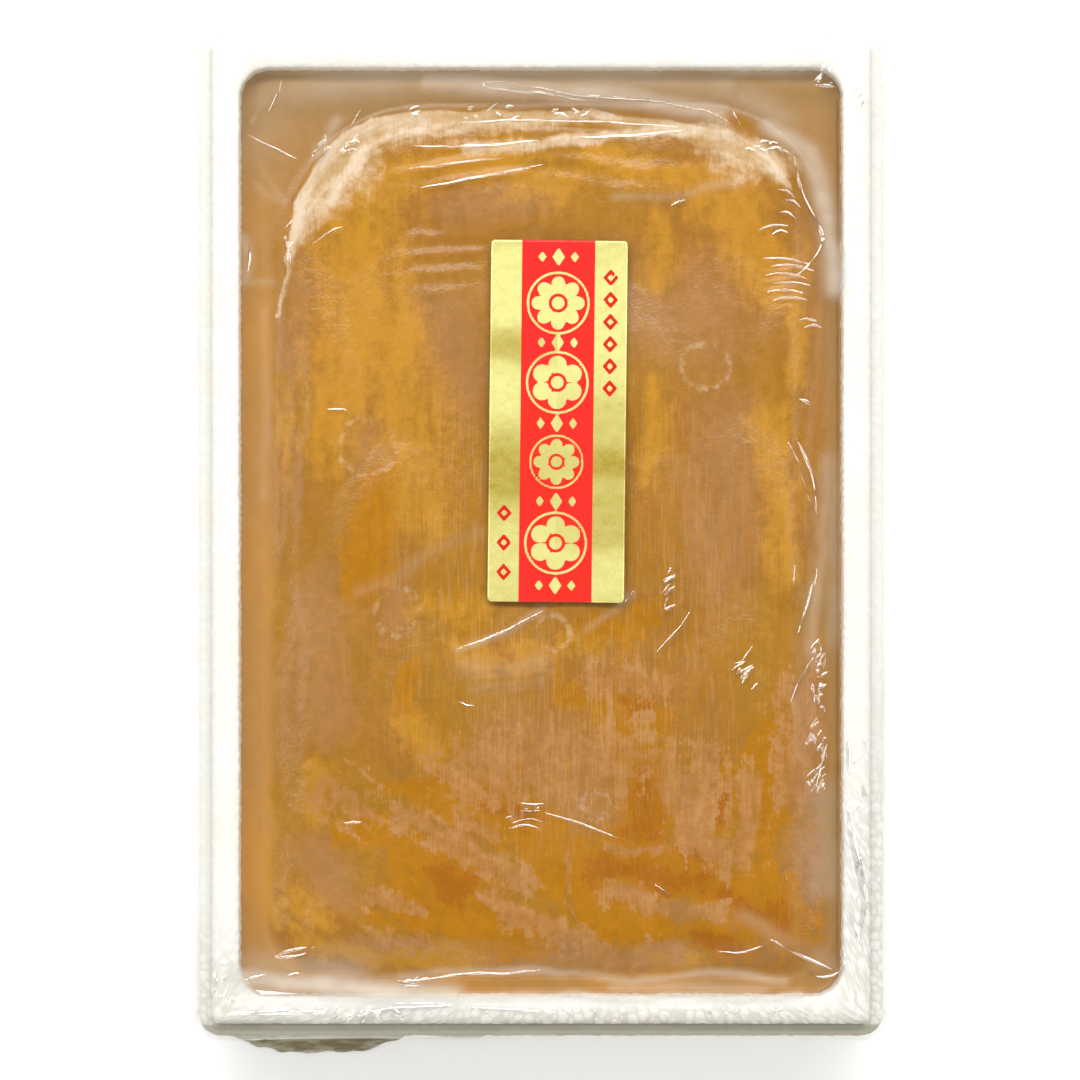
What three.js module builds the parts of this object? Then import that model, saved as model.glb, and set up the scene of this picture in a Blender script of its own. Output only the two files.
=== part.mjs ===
// A foam tray of seasoned herring roe, wrapped in clear film, with a label stuck on top.
// The tray has a raised lip and a lower ledge round it. A slab of frozen roe skeins stands in
// it, with seasoning sauce round the slab, and the film is stretched over the lip and the slab.
// Millimetres. +Z is up, +X is to the right and +Y is towards the far short side.
// The origin is under the middle of the tray, on the face that it rests on.
import * as THREE from "three";

// Foam tray
const TRAY_WIDTH = 186;
const TRAY_LENGTH = 274;
const TRAY_HEIGHT = 40;
const TRAY_CORNER = 6;
const TRAY_TAPER = 2.5; // how far the side leans in, from the ledge down to the table
const FOOT_ROUND = 3;
const FOOT_STEPS = 4;
const LEDGE_WIDTH = 3.8;
const LEDGE_DROP = 5; // below the top of the lip
const LIP_WIDTH = 7.5;
const LIP_CORNER = 2;
const EDGE_BEVEL = 0.7;
const CAVITY_CORNER = 8;
const CAVITY_TAPER = 3;
const FLOOR_THICKNESS = 9;

// Roe and sauce
const GAP = 0.3; // between pieces that touch
const SAUCE_LEVEL = 33.5;
const ROE_LEFT = -75;
const ROE_RIGHT = 79;
const ROE_NEAR = -121.5;
const ROE_FAR = 117;
const ROE_CORNERS = [16, 14, 36, 45]; // from the near left one, anticlockwise
const ROE_TAPER = 3.5; // how much further in the slab is where it stands on the floor
const ROE_SHOULDER = 6; // how far in its top edge is rounded
const ROE_SHOULDER_RINGS = [1, 3];
const ROE_PLATEAU = 36;
// Skeins are long lobes side by side, each with its own place, turn and size
const SKEIN_COLUMNS = 6;
const SKEIN_ROWS = 5;
const SKEIN_LENGTH = 58;
const SKEIN_WIDTH = 30;
const SKEIN_HEIGHT = 2.2;
const SKEIN_SHIFT_X = 4;
const SKEIN_SHIFT_Y = 8;
const SKEIN_TURN = 0.6; // radians either way
const SKEIN_SEED = 7;

// Film
const FILM_THICKNESS = 0.5;
const FILM_SAG = 1.6; // dip inside the lip, down to just over the skeins
const FILM_SAG_SPAN = 4;
const FILM_SAG_RINGS = [5, 2.5, 0]; // distances in from the lip, with the flat sheet inside them
const FILM_FOOT_ANGLE = 0.7; // how far round the rounded foot the film reaches, in radians
// Broad folds in the film: both ends, the height and the half width
const FOLDS = [
  { from: [-78, 92], to: [-50, 80], height: 0.9, halfWidth: 5 },
  { from: [-62, 118], to: [-56, 100], height: 0.8, halfWidth: 5 },
  { from: [-16, 119], to: [52, 112], height: 1.3, halfWidth: 5 },
  { from: [55, -103], to: [79, -117], height: 1.1, halfWidth: 5 },
  { from: [76, 20], to: [72, -55], height: 1, halfWidth: 5 },
  { from: [-40, -119], to: [52, -117], height: 1, halfWidth: 5 },
];

// Label
const LABEL_WIDTH = 37;
const LABEL_LENGTH = 98;
const LABEL_THICKNESS = 0.3;
const LABEL_X = 4.5;
const LABEL_Y = 30;
const LABEL_TURN = -0.011; // radians
const LABEL_CELLS_X = 6;
const LABEL_CELLS_Y = 16;

// Mesh divisions of a ring's sides, and of each half of its corners
const CELLS_X = 24;
const CELLS_Y = 36;
const CORNER_CELLS = 2;
const PLAIN_CELLS = 2 * CORNER_CELLS + 1;

const lerp = THREE.MathUtils.lerp;
const clamp01 = (value) => THREE.MathUtils.clamp(value, 0, 1);

// Outlines seen from above are rectangles with four corner radii, from the near left one round
function rectangle(width, length, radius) {
  const radii = [radius, radius, radius, radius];
  return { left: -width / 2, right: width / 2, near: -length / 2, far: length / 2, radii };
}

// The parallel outline further in, or further out where the distance is negative
function inset(outline, distance) {
  return {
    left: outline.left + distance,
    right: outline.right - distance,
    near: outline.near + distance,
    far: outline.far - distance,
    radii: outline.radii.map((radius) => radius - distance),
  };
}

const LEDGE_HEIGHT = TRAY_HEIGHT - LEDGE_DROP;
const LIP_INSET = 2 * LEDGE_WIDTH;
const CAVITY_INSET = 2 * (LEDGE_WIDTH + LIP_WIDTH);
const LEDGE = rectangle(TRAY_WIDTH, TRAY_LENGTH, TRAY_CORNER);
const LIP = rectangle(TRAY_WIDTH - LIP_INSET, TRAY_LENGTH - LIP_INSET, LIP_CORNER);
const CAVITY = rectangle(TRAY_WIDTH - CAVITY_INSET, TRAY_LENGTH - CAVITY_INSET, CAVITY_CORNER);
const ROE = { left: ROE_LEFT, right: ROE_RIGHT, near: ROE_NEAR, far: ROE_FAR, radii: ROE_CORNERS };

// How far a point lies inside an outline, negative outside it
function depthInside(outline, x, y) {
  const onRight = x > (outline.left + outline.right) / 2;
  const onFar = y > (outline.near + outline.far) / 2;
  const cornerX = onRight ? x - outline.right : outline.left - x;
  const cornerY = onFar ? y - outline.far : outline.near - y;
  const corner = onFar ? 3 - Number(onRight) : Number(onRight);
  const radius = outline.radii[corner];
  const beyond = Math.hypot(Math.max(cornerX + radius, 0), Math.max(cornerY + radius, 0));
  return radius - beyond - Math.min(Math.max(cornerX, cornerY) + radius, 0);
}

// A point on a corner's arc, with the share of the arc running anticlockwise from 0 to 1
function cornerPoint(outline, corner, share) {
  const radius = outline.radii[corner];
  const angle = Math.PI + ((corner + share) * Math.PI) / 2;
  const onRight = corner === 1 || corner === 2;
  const centreX = onRight ? outline.right - radius : outline.left + radius;
  const centreY = corner > 1 ? outline.far - radius : outline.near + radius;
  return [centreX + radius * Math.cos(angle), centreY + radius * Math.sin(angle)];
}

const between = (a, b, share) => [lerp(a[0], b[0], share), lerp(a[1], b[1], share)];

// Points along an outline, anticlockwise from the middle of its near left arc
function ringPoints(outline, cellsX = CELLS_X, cellsY = CELLS_Y) {
  const points = [];
  for (let corner = 0; corner < 4; corner++) {
    const next = (corner + 1) % 4;
    const cells = corner % 2 ? cellsY : cellsX;
    const straightCells = cells - 2 * CORNER_CELLS;
    for (let i = 0; i < CORNER_CELLS; i++) {
      points.push(cornerPoint(outline, corner, 0.5 + i / (2 * CORNER_CELLS)));
    }
    for (let i = 0; i < straightCells; i++) {
      const start = cornerPoint(outline, corner, 1);
      points.push(between(start, cornerPoint(outline, next, 0), i / straightCells));
    }
    for (let i = 0; i < CORNER_CELLS; i++) {
      points.push(cornerPoint(outline, next, i / (2 * CORNER_CELLS)));
    }
  }
  return points;
}

// Rows of points that fill a ring, each drawn in from the ring towards the origin
function fillRing(ring) {
  const starts = [0, CELLS_X, CELLS_X + CELLS_Y, 2 * CELLS_X + CELLS_Y];
  const edgePoint = (u, v) => {
    let index = starts[3] + ((1 - v) / 2) * CELLS_Y;
    if (v <= -1) index = ((u + 1) / 2) * CELLS_X;
    else if (u >= 1) index = starts[1] + ((v + 1) / 2) * CELLS_Y;
    else if (v >= 1) index = starts[2] + ((1 - u) / 2) * CELLS_X;
    const low = Math.floor(index);
    return between(ring[low % ring.length], ring[(low + 1) % ring.length], index - low);
  };
  const rows = [];
  for (let j = 0; j <= CELLS_Y; j++) {
    const row = [];
    for (let i = 0; i <= CELLS_X; i++) {
      const u = (2 * i) / CELLS_X - 1;
      const v = (2 * j) / CELLS_Y - 1;
      const share = Math.max(Math.abs(u), Math.abs(v));
      row.push(share > 0 ? between([0, 0], edgePoint(u / share, v / share), share) : [0, 0]);
    }
    rows.push(row);
  }
  return rows;
}

// A closed surface, built from rings in the order that keeps the solid inside
class Surface {
  constructor() {
    this.positions = [];
    this.triangles = [];
  }

  // The height is a number, or a function of x and y
  addPoints(points, height) {
    const first = this.positions.length / 3;
    for (const [x, y] of points) {
      this.positions.push(x, y, typeof height === "function" ? height(x, y) : height);
    }
    return points.map((_, i) => first + i);
  }

  joinRings(a, b) {
    for (let i = 0; i < a.length; i++) {
      const next = (i + 1) % a.length;
      this.triangles.push(a[i], a[next], b[next]);
      this.triangles.push(a[i], b[next], b[i]);
    }
  }

  joinInOrder(rings) {
    for (let i = 1; i < rings.length; i++) this.joinRings(rings[i - 1], rings[i]);
  }

  addFlatCap(ring, height, facesUp) {
    const [middle] = this.addPoints([[0, 0]], height);
    for (let i = 0; i < ring.length; i++) {
      const next = ring[(i + 1) % ring.length];
      this.triangles.push(middle, facesUp ? ring[i] : next, facesUp ? next : ring[i]);
    }
  }

  // A sheet over rows of points, which gives back its edge as a ring
  addSheet(rows, height, facesUp) {
    const lastRow = rows.length - 1;
    const lastColumn = rows[0].length - 1;
    const at = rows.map((row) => this.addPoints(row, height));
    for (let j = 0; j < lastRow; j++) {
      for (let i = 0; i < lastColumn; i++) {
        const cell = [at[j][i], at[j][i + 1], at[j + 1][i + 1], at[j + 1][i]];
        if (!facesUp) cell.reverse();
        const [a, b, c, d] = cell;
        this.triangles.push(a, b, c, a, c, d);
      }
    }
    const rightSide = at.slice(0, lastRow).map((row) => row[lastColumn]);
    const farSide = at[lastRow].slice(1).reverse();
    const leftSide = at.slice(1).map((row) => row[0]).reverse();
    return [...at[0].slice(0, lastColumn), ...rightSide, ...farSide, ...leftSide];
  }

  toMesh(name, color, roughness, opacity = 1) {
    const geometry = new THREE.BufferGeometry();
    geometry.setAttribute("position", new THREE.Float32BufferAttribute(this.positions, 3));
    geometry.setIndex(this.triangles);
    geometry.computeVertexNormals();
    const look = { color, roughness, metalness: 0, opacity, transparent: opacity < 1 };
    const mesh = new THREE.Mesh(geometry, new THREE.MeshStandardMaterial(look));
    mesh.name = name;
    return mesh;
  }
}

// Random numbers from 0 to 1 that are the same each time
function seededRandom(seed) {
  let state = seed;
  return () => {
    state = (Math.imul(state, 1664525) + 1013904223) >>> 0;
    return state / 2 ** 32;
  };
}

function laySkeins() {
  const random = seededRandom(SKEIN_SEED);
  const eitherWay = (most) => lerp(-most, most, random());
  const skeins = [];
  for (let row = 0; row < SKEIN_ROWS; row++) {
    const stagger = row % 2 ? 0.75 : 0.25;
    const rowY = lerp(CAVITY.near, CAVITY.far, (row + 0.5) / SKEIN_ROWS);
    for (let column = 0; column < SKEIN_COLUMNS; column++) {
      const columnX = lerp(CAVITY.left, CAVITY.right, (column + stagger) / SKEIN_COLUMNS);
      skeins.push({
        x: columnX + eitherWay(SKEIN_SHIFT_X),
        y: rowY + eitherWay(SKEIN_SHIFT_Y),
        turn: eitherWay(SKEIN_TURN),
        length: SKEIN_LENGTH * lerp(0.85, 1.2, random()),
        width: SKEIN_WIDTH * lerp(0.8, 1.15, random()),
        height: SKEIN_HEIGHT * lerp(0.6, 1, random()),
      });
    }
  }
  return skeins;
}

const skeins = laySkeins();

function skeinHeight(x, y) {
  let highest = 0;
  for (const skein of skeins) {
    const dx = x - skein.x;
    const dy = y - skein.y;
    const along = dy * Math.cos(skein.turn) - dx * Math.sin(skein.turn);
    const across = dx * Math.cos(skein.turn) + dy * Math.sin(skein.turn);
    const share = Math.hypot((2 * along) / skein.length, (2 * across) / skein.width);
    highest = Math.max(highest, skein.height * Math.sqrt(Math.max(0, 1 - share ** 2)));
  }
  return highest;
}

function roeHeight(x, y) {
  const inward = clamp01(depthInside(ROE, x, y) / ROE_SHOULDER);
  const shoulder = Math.sqrt(1 - (1 - inward) ** 2);
  return lerp(SAUCE_LEVEL, ROE_PLATEAU + skeinHeight(x, y), shoulder);
}

function foldHeight(x, y) {
  const point = new THREE.Vector3(x, y, 0);
  const nearest = new THREE.Vector3();
  let total = 0;
  for (const { from, to, height, halfWidth } of FOLDS) {
    const ridge = new THREE.Line3(new THREE.Vector3(...from, 0), new THREE.Vector3(...to, 0));
    ridge.closestPointToPoint(point, true, nearest);
    total += height * Math.exp(-((nearest.distanceTo(point) / halfWidth) ** 2));
  }
  return total;
}

// Underside of the film inside the lip: it dips from the lip and spans the skeins' tops
function filmHeight(x, y) {
  const inward = Math.max(0, depthInside(CAVITY, x, y));
  const dip = FILM_SAG * (1 - Math.exp(-inward / FILM_SAG_SPAN));
  return TRAY_HEIGHT + GAP - dip + foldHeight(x, y) * clamp01(inward / FILM_SAG_SPAN);
}

// Outline of the tray's leaning side at a height, without its rounded foot
function sideAt(height) {
  return inset(LEDGE, (TRAY_TAPER * (LEDGE_HEIGHT - height)) / LEDGE_HEIGHT);
}

// The rounded foot, or a line parallel to it further out, at an angle down from level
function footAt(angle, out) {
  const reach = FOOT_ROUND + out;
  const outline = inset(sideAt(FOOT_ROUND), FOOT_ROUND - reach * Math.cos(angle));
  return [outline, FOOT_ROUND - reach * Math.sin(angle)];
}

function makeTray() {
  const profile = [];
  for (let step = FOOT_STEPS; step >= 0; step--) {
    profile.push(footAt(((step / FOOT_STEPS) * Math.PI) / 2, 0));
  }
  profile.push(
    [LEDGE, LEDGE_HEIGHT - EDGE_BEVEL],
    [inset(LEDGE, EDGE_BEVEL), LEDGE_HEIGHT],
    [LIP, LEDGE_HEIGHT],
    [LIP, TRAY_HEIGHT - EDGE_BEVEL],
    [inset(LIP, EDGE_BEVEL), TRAY_HEIGHT],
    [inset(CAVITY, -EDGE_BEVEL), TRAY_HEIGHT],
    [CAVITY, TRAY_HEIGHT - EDGE_BEVEL],
    [inset(CAVITY, CAVITY_TAPER), FLOOR_THICKNESS],
  );
  const surface = new Surface();
  const rings = profile.map(([outline, height]) =>
    surface.addPoints(ringPoints(outline, PLAIN_CELLS, PLAIN_CELLS), height),
  );
  surface.addFlatCap(rings[0], 0, false);
  surface.joinInOrder(rings);
  surface.addFlatCap(rings.at(-1), FLOOR_THICKNESS, true);
  return surface.toMesh("tray", 0xfbf9f2, 0.85);
}

function makeRoe() {
  const surface = new Surface();
  const bottom = FLOOR_THICKNESS + GAP;
  const rings = [
    surface.addPoints(ringPoints(inset(ROE, ROE_TAPER)), bottom),
    surface.addPoints(ringPoints(ROE), SAUCE_LEVEL),
  ];
  for (const distance of ROE_SHOULDER_RINGS) {
    rings.push(surface.addPoints(ringPoints(inset(ROE, distance)), roeHeight));
  }
  const top = fillRing(ringPoints(inset(ROE, ROE_SHOULDER)));
  rings.push(surface.addSheet(top, roeHeight, true));
  surface.addFlatCap(rings[0], bottom, false);
  surface.joinInOrder(rings);
  return surface.toMesh("roe", 0xc98a35, 0.35);
}

// Sauce fills the space round the slab, between it and the cavity's wall
function makeSauce() {
  const surface = new Surface();
  const bottom = FLOOR_THICKNESS + GAP;
  const wallLean = (CAVITY_TAPER * (TRAY_HEIGHT - SAUCE_LEVEL)) / (TRAY_HEIGHT - FLOOR_THICKNESS);
  const profile = [
    [inset(ROE, ROE_TAPER - GAP), bottom],
    [inset(CAVITY, CAVITY_TAPER + GAP), bottom],
    [inset(CAVITY, wallLean + GAP), SAUCE_LEVEL],
    [inset(ROE, -GAP), SAUCE_LEVEL],
  ];
  const rings = profile.map(([outline, height]) => surface.addPoints(ringPoints(outline), height));
  surface.joinInOrder([...rings, rings[0]]);
  return surface.toMesh("sauce", 0xb49065, 0.3);
}

// One face of the film: its sheet, then its rings out over the lip and down to the foot
function addFilmFace(surface, offset, facesUp) {
  const out = GAP + offset;
  const height = (x, y) => filmHeight(x, y) + offset;
  const [sheetInset, ...ringInsets] = FILM_SAG_RINGS;
  const sheet = surface.addSheet(fillRing(ringPoints(inset(CAVITY, sheetInset))), height, facesUp);
  const profile = [
    ...ringInsets.map((distance) => [inset(CAVITY, distance), height]),
    [inset(LIP, -out / 2), TRAY_HEIGHT + out],
    [inset(LEDGE, -out), LEDGE_HEIGHT + out / 2],
    footAt(0, out),
    footAt(FILM_FOOT_ANGLE, out),
  ];
  const rings = profile.map(([outline, z]) => surface.addPoints(ringPoints(outline), z));
  return [sheet, ...rings];
}

function makeFilm() {
  const surface = new Surface();
  const under = addFilmFace(surface, 0, false);
  const over = addFilmFace(surface, FILM_THICKNESS, true);
  surface.joinInOrder([...under, ...over.reverse()]);
  return surface.toMesh("film", 0xffffff, 0.1, 0.25);
}

function labelPoints() {
  const turned = (across, along) => [
    LABEL_X + across * Math.cos(LABEL_TURN) - along * Math.sin(LABEL_TURN),
    LABEL_Y + across * Math.sin(LABEL_TURN) + along * Math.cos(LABEL_TURN),
  ];
  const rows = [];
  for (let j = 0; j <= LABEL_CELLS_Y; j++) {
    const along = (j / LABEL_CELLS_Y - 0.5) * LABEL_LENGTH;
    const row = [];
    for (let i = 0; i <= LABEL_CELLS_X; i++) {
      row.push(turned((i / LABEL_CELLS_X - 0.5) * LABEL_WIDTH, along));
    }
    rows.push(row);
  }
  return rows;
}

function makeLabel() {
  const surface = new Surface();
  const underside = (x, y) => filmHeight(x, y) + FILM_THICKNESS + GAP;
  const face = (x, y) => underside(x, y) + LABEL_THICKNESS;
  const under = surface.addSheet(labelPoints(), underside, false);
  const over = surface.addSheet(labelPoints(), face, true);
  surface.joinRings(under, over);
  return surface.toMesh("label", 0xe8302c, 0.3);
}

const pack = new THREE.Group();
pack.add(makeTray(), makeSauce(), makeRoe(), makeFilm(), makeLabel());

export default pack;
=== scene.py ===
# A foam tray of frozen seasoned herring roe under clear film, with a gold and red label.
# Every piece is worked out in millimetres and turned into metres when its mesh is made.
# +X is to the right, +Y is towards the far short side and +Z is up, as in the frame.
import itertools
import math
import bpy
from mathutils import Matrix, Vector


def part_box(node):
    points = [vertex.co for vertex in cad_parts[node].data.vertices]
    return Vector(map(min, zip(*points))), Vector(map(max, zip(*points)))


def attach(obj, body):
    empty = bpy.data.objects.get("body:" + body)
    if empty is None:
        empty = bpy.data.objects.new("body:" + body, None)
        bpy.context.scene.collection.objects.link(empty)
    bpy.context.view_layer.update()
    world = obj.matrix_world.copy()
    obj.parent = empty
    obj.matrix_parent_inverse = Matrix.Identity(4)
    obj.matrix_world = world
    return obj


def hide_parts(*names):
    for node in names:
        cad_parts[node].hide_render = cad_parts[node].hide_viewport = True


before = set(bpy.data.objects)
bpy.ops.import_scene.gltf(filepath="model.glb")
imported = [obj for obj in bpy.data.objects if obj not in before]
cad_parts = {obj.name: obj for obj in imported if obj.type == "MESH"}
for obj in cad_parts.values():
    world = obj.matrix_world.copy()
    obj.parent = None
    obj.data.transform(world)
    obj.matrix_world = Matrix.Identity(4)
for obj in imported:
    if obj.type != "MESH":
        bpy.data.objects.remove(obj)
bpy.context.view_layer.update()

from types import SimpleNamespace

import bpy
import numpy as np
from mathutils import Vector

MM = 0.001


def node_box(name):
    """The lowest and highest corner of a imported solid, in millimetres."""
    low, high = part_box(name)
    return low / MM, high / MM


tray_low, tray_high = node_box("tray")
roe_low, roe_high = node_box("roe")
label_low, label_high = node_box("label")

# Foam tray
TRAY_WIDTH = tray_high.x - tray_low.x
TRAY_LENGTH = tray_high.y - tray_low.y
TRAY_HEIGHT = tray_high.z
TRAY_CORNER = 6
TRAY_TAPER = 2.5
FOOT_ROUND = 3
LEDGE_WIDTH = 3.8
LEDGE_DROP = 5
LIP_WIDTH = 7.5
LIP_CORNER = 2
LIP_OUTER_FALL = 1.1  # how far the lip's top falls off from its middle to each edge
LIP_INNER_FALL = 0.3
LIP_ROUND = 0.5
EDGE_BEVEL = 0.9
CAVITY_CORNER = 8
CAVITY_TAPER = 3
FLOOR_THICKNESS = 9
COARSE_SIDE_TOP = 31  # the side has fine cells from just above here
FINE_SIDE_START = 31.8
FINE_WALL_END = (0.3, 32.5)  # inset from the cavity's rim, and height, where the wall's fine cells end
COARSE_WALL_START = (0.4, 31.5)
FOOT_ANGLES = (50, 25, 0)  # degrees down from level, of the rings round the foot
UNDER_ANGLE = 78  # where the foot meets the flat underside
LIP_SHARES = np.linspace(0.07, 0.93, 9)  # rings across the lip's top
FOAM_WAVE = 0.08
BEAD_SIZE = 2.6
BEAD_RELIEF = 0.24
BEAD_LEVEL = 0.6  # share of a bead's relief that lies under the smooth surface
BEAD_GROOVE = 0.36  # how far a bead slopes into its grooves, as a share of its size
UNDERSIDE = 0.7  # leaves room for the film under the tray
# Where the painted shade in the beads' grooves shows: glare hides it away from the near right corner, and
# on the lip
GROOVES_LEAST = 0.14
GROOVES_FROM = -95
GROOVES_FADE = 40
GROOVES_SLANT = 0.5
GLARE_FROM = -129.6
GLARE_FADE = 1.5
GLARE_STRENGTH = 0.85
GROOVES_ON_SIDE = 0.4
# Painted shade darkening the foam: on the near ledge, in the lip's shadow, and a little on the near edge of
# the lip
LEDGE_SHADE_MARGIN = 0.4
LIP_SHADE_FROM = -129.8
LIP_SHADE_SHARE = 0.15

# Roe and sauce
GAP = 0.3
SAUCE_LEVEL = node_box("sauce")[1].z
# Distance from the foam and how far the sauce creeps up it
SAUCE_CREEP = [(1.2, 0.2), (0.5, 0.6), (-0.5, 0.75)]
ROE_CORNERS = [16, 14, 36, 45]
ROE_TAPER = 3.5
ROE_SHOULDER = 14
ROE_PLATEAU = 36
FAR_SHOULDER_CUT = 6  # how much narrower the slab's shoulder is on the far side
ROE_EDGE_INSETS = (0.1, 0.4, 0.9)
ROE_TOP_INSET = 1.5
SKEIN_COLUMNS = 6
SKEIN_ROWS = 5
SKEIN_LENGTH = 58
SKEIN_WIDTH = 30
SKEIN_HEIGHT = 2.2
SKEIN_SHIFT_X = 4
SKEIN_SHIFT_Y = 8
SKEIN_TURN = 0.6
SKEIN_STAGGER = (0.25, 0.75)
SKEIN_LENGTHS = (0.85, 1.2)  # limits of what is drawn for each, as shares
SKEIN_WIDTHS = (0.8, 1.15)
SKEIN_HEIGHTS = (0.6, 1)
SKEIN_REACH = 1.25
SKEIN_SEED = 7
EGG_RELIEF = 0.07
EGG_SIZE = 1.5
LUMP_RELIEF = 0.16
LUMP_SIZE = (5, 9)
MARGIN_WIDTH = 4  # the slab has the sauce's colour along its edge
ICE_THICKNESS = 0.14
ICE_STREAK_RELIEF = 0.2
ICE_GRAIN_RELIEF = 0.08
LABEL_SMOOTHING = 0.7  # share of the slab's relief that is left off under the label
SAUCE_RIPPLE = 0.06
SAUCE_SHARES = (0, 0.15, 0.3, 0.5, 0.7)  # from the slab to the foam
SAUCE_UNDER_SLAB = 4.2
SAUCE_IN_SLAB = 0.15
SAUCE_FROM_FOAM = 0.05
SAUCE_HIDDEN_EDGE = (0.8, 0.4)  # inset and depth of its edge inside the slab

# Film
FILM_RISE = 0.55  # middle of the film over the lip
FILM_SAG = 1.6
FILM_SAG_SPAN = 4
FILM_WAVE = 0.16
FILM_CRINKLE = 0.035
FILM_FLAT_UNDER_LABEL = 0.85
LIP_WRINKLE = 0.12
LIP_CORNER_REACH = 30
FILM_CLEARANCE = 0.9  # least height of the film over the smooth slab
NEAR_BULGE = 0.7  # height, middle and reach of the film's bulge along the near side of the lip
NEAR_BULGE_Y = -129.8
NEAR_BULGE_REACH = 1.9
NEAR_BULGE_END = 8  # how far before the lip's ends it fades out, and over what length
NEAR_BULGE_FADE = 20
FILM_FOOT = 0.25  # height of the film under the tray
FILM_FOOT_ANGLES = (30, 60)
FILM_SKIRT_OUT = 0.55
SKIRT_RINGS = (6, 12, 20, 30, 42, 56, 72, 84)  # under the tray, from its foot inwards
SKIRT_VEIL = 0.25
PLEAT_PUSH = (0.1, 0.45)  # away from the corners, and more at them
SLACK_PUSH = 0.15
FLAP_PUSH = 0.45
SHOULDER_PUSH = 0.3
SKIRT_CORNER_REACH = 45
END_REACH = 6
FLAP_HALF_WIDTH = 34
FLAP_SLANT = 0.7
FOLDS = [
    ((-78, 92), (-50, 80), 0.4),
    ((-62, 118), (-56, 100), 0.5),
    ((-16, 119), (52, 112), 0.8),
    ((55, -103), (79, -117), 0.8),
    ((76, 20), (72, -55), 0.8),
    ((-40, -119), (52, -117), 0.8),
]
FOLD_HALF_WIDTH = 5
CREASE_LIFT = 0.08  # height of the creases' edges over the film
CREASE_STEEP = 0.34  # height of a crease for each millimetre of its half width
CREASE_STEP = 0.45
CREASE_CELLS = 8
CREASE_END = 0.15  # width of a crease at its ends, as a share
CREASE_WANDER = 0.2
CREASE_UNEVEN = 0.45
CREASE_GLOSS = 0.2

# Label
LABEL_WIDTH = 37
LABEL_LENGTH = 98
LABEL_THICKNESS = 0.12
LABEL_TURN = -0.011
LABEL_CORNER = 1.1
LABEL_LIFT = 0.1

# Camera and its view: straight down, with the frame this long at the height of the ledge
CAMERA_X = -0.27
CAMERA_Y = -2.17
CAMERA_DISTANCE = 1200
VIEW_LENGTH = 293.5

# Film tails under the near side: name, left, right, reach and seed
TAILS = [
    ("film_tail", -91, -32, 10.5, 131),
    ("film_tail_thin", -48, 4, 6.5, 135),
    ("film_tail_small", 69, 76, 4, 141),
]
TAIL_CELLS = (64, 22)
TAIL_TUCK = 4
TAIL_RISE = 0.9
TAIL_CRUMPLE = 0.35
TAIL_LOW = 0.05  # height of its lower face where it is tucked in
TAIL_GAP = 0.2  # between its two faces
TAIL_RAGGED = 0.16

# Sizes of mesh cells and distances between rings
TRAY_CELL = 0.55
TRAY_RING = 0.66
SIDE_RING = 1.25
WALL_RING = 8
ROE_CELL = 0.66
SAUCE_CELL = 1.6
FILM_CELL = 0.72
SKIRT_RING = 1.3
LABEL_CELL = 0.5

# Print on the label, in millimetres from its middle
BAND_MIDDLE = -0.2
BAND_HALF_WIDTH = 9.9
BAND_FLOWERS = [(32, 7.2, 8), (10.5, 7.2, 6), (-11, 6.2, 8), (-33, 7.2, 6)]
BAND_LOZENGES = [44.5, 21.3, -0.6, -21.7, -44.5]
STRIP_LOZENGES = [(14, 39, 9, 6), (-14.2, -25, -41, 3)]
# Painted reflections on the foil, as bright and dark bands across it: side, middle, half length, shine
PAINTED_FOIL_SHINE_BANDS = [
    (-1, 33, 18, 0.95), (-1, 20, 5, 0.3), (-1, 8, 8, 0.9), (-1, -14, 9, 0.15), (-1, -38, 12, 0.75),
    (1, 26, 24, 0.95), (1, 0, 7, 0.5), (1, -12, 5, 0.12), (1, -27, 10, 0.35), (1, -42, 7, 0.8),
]

# Colours
FILM_GLOSS = 0.055  # share of light that the film reflects straight back
FILM_ROUGHNESS = 0.05
FILM_HAZE = 0.003
TAIL_MILK = 0.55
TAIL_TINT = (0.9, 0.86, 0.72, 1)
SKIRT_TINT = (0.965, 0.97, 0.965, 1)
WHITE = (1, 1, 1, 1)
SHADING_DARK = (0.76, 0.76, 0.76, 1)
SHADING_LIGHT = (0.89, 0.89, 0.89, 1)
LABEL_CRISPNESS = 0.06  # millimetres over which printed colours change
FOAM_WHITE = (0.93, 0.92, 0.89, 1)
FOAM_WARM = (0.93, 0.9, 0.84, 1)
# painted shade in the grooves between the beads
FOAM_GROOVE_SHADE = (0.5, 0.47, 0.37, 1)
FOAM_LEDGE_SHADE = (0.38, 0.35, 0.25, 1)  # painted shade along the near ledge

# Lights: name, azimuth, elevation, distance, size and power, with the near side at azimuth 0
LIGHTS = [
    ("window", 180, 57, 1.6, (1.2, 0.32), 16.5),
    ("far_left", -130, 52, 1.8, (0.7, 0.25), 5.2),
    ("far_right", 130, 52, 1.8, (0.7, 0.25), 5.2),
    ("left", -88, 44, 1.8, (0.6, 0.22), 4.2),
    ("right", 88, 44, 1.8, (0.6, 0.22), 3.6),
    ("near_fill", 0, 34, 1.8, (1.4, 0.3), 4.6),
]
SKY_LOW = (0.52, 0.5, 0.44, 1)
SKY_HIGH = (0.08, 0.08, 0.08, 1)
SKY_CHANGE = (0.55, 0.85)
FLOOR_SIZE = 6  # metres
FLOOR_DARK = (0.93, 0.93, 0.93, 1)
FLOOR_LIGHT = (0.95, 0.95, 0.95, 1)
FLOOR_GLOW = 0.3  # keeps the tray's shadow on the floor pale

# Numbers that spread out the cells of the noise and the seeded draws
HASH_PRIMES = np.array([374761393, 668265263, 1442695041])
HASH_SEED_STEP = 974634777
HASH_SPREAD = 1274126177
HASH_MASK = 0xFFFFFFFF
DRAW_FACTOR = 1664525
DRAW_STEP = 1013904223


def clamp(value):
    return np.clip(value, 0, 1)


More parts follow.
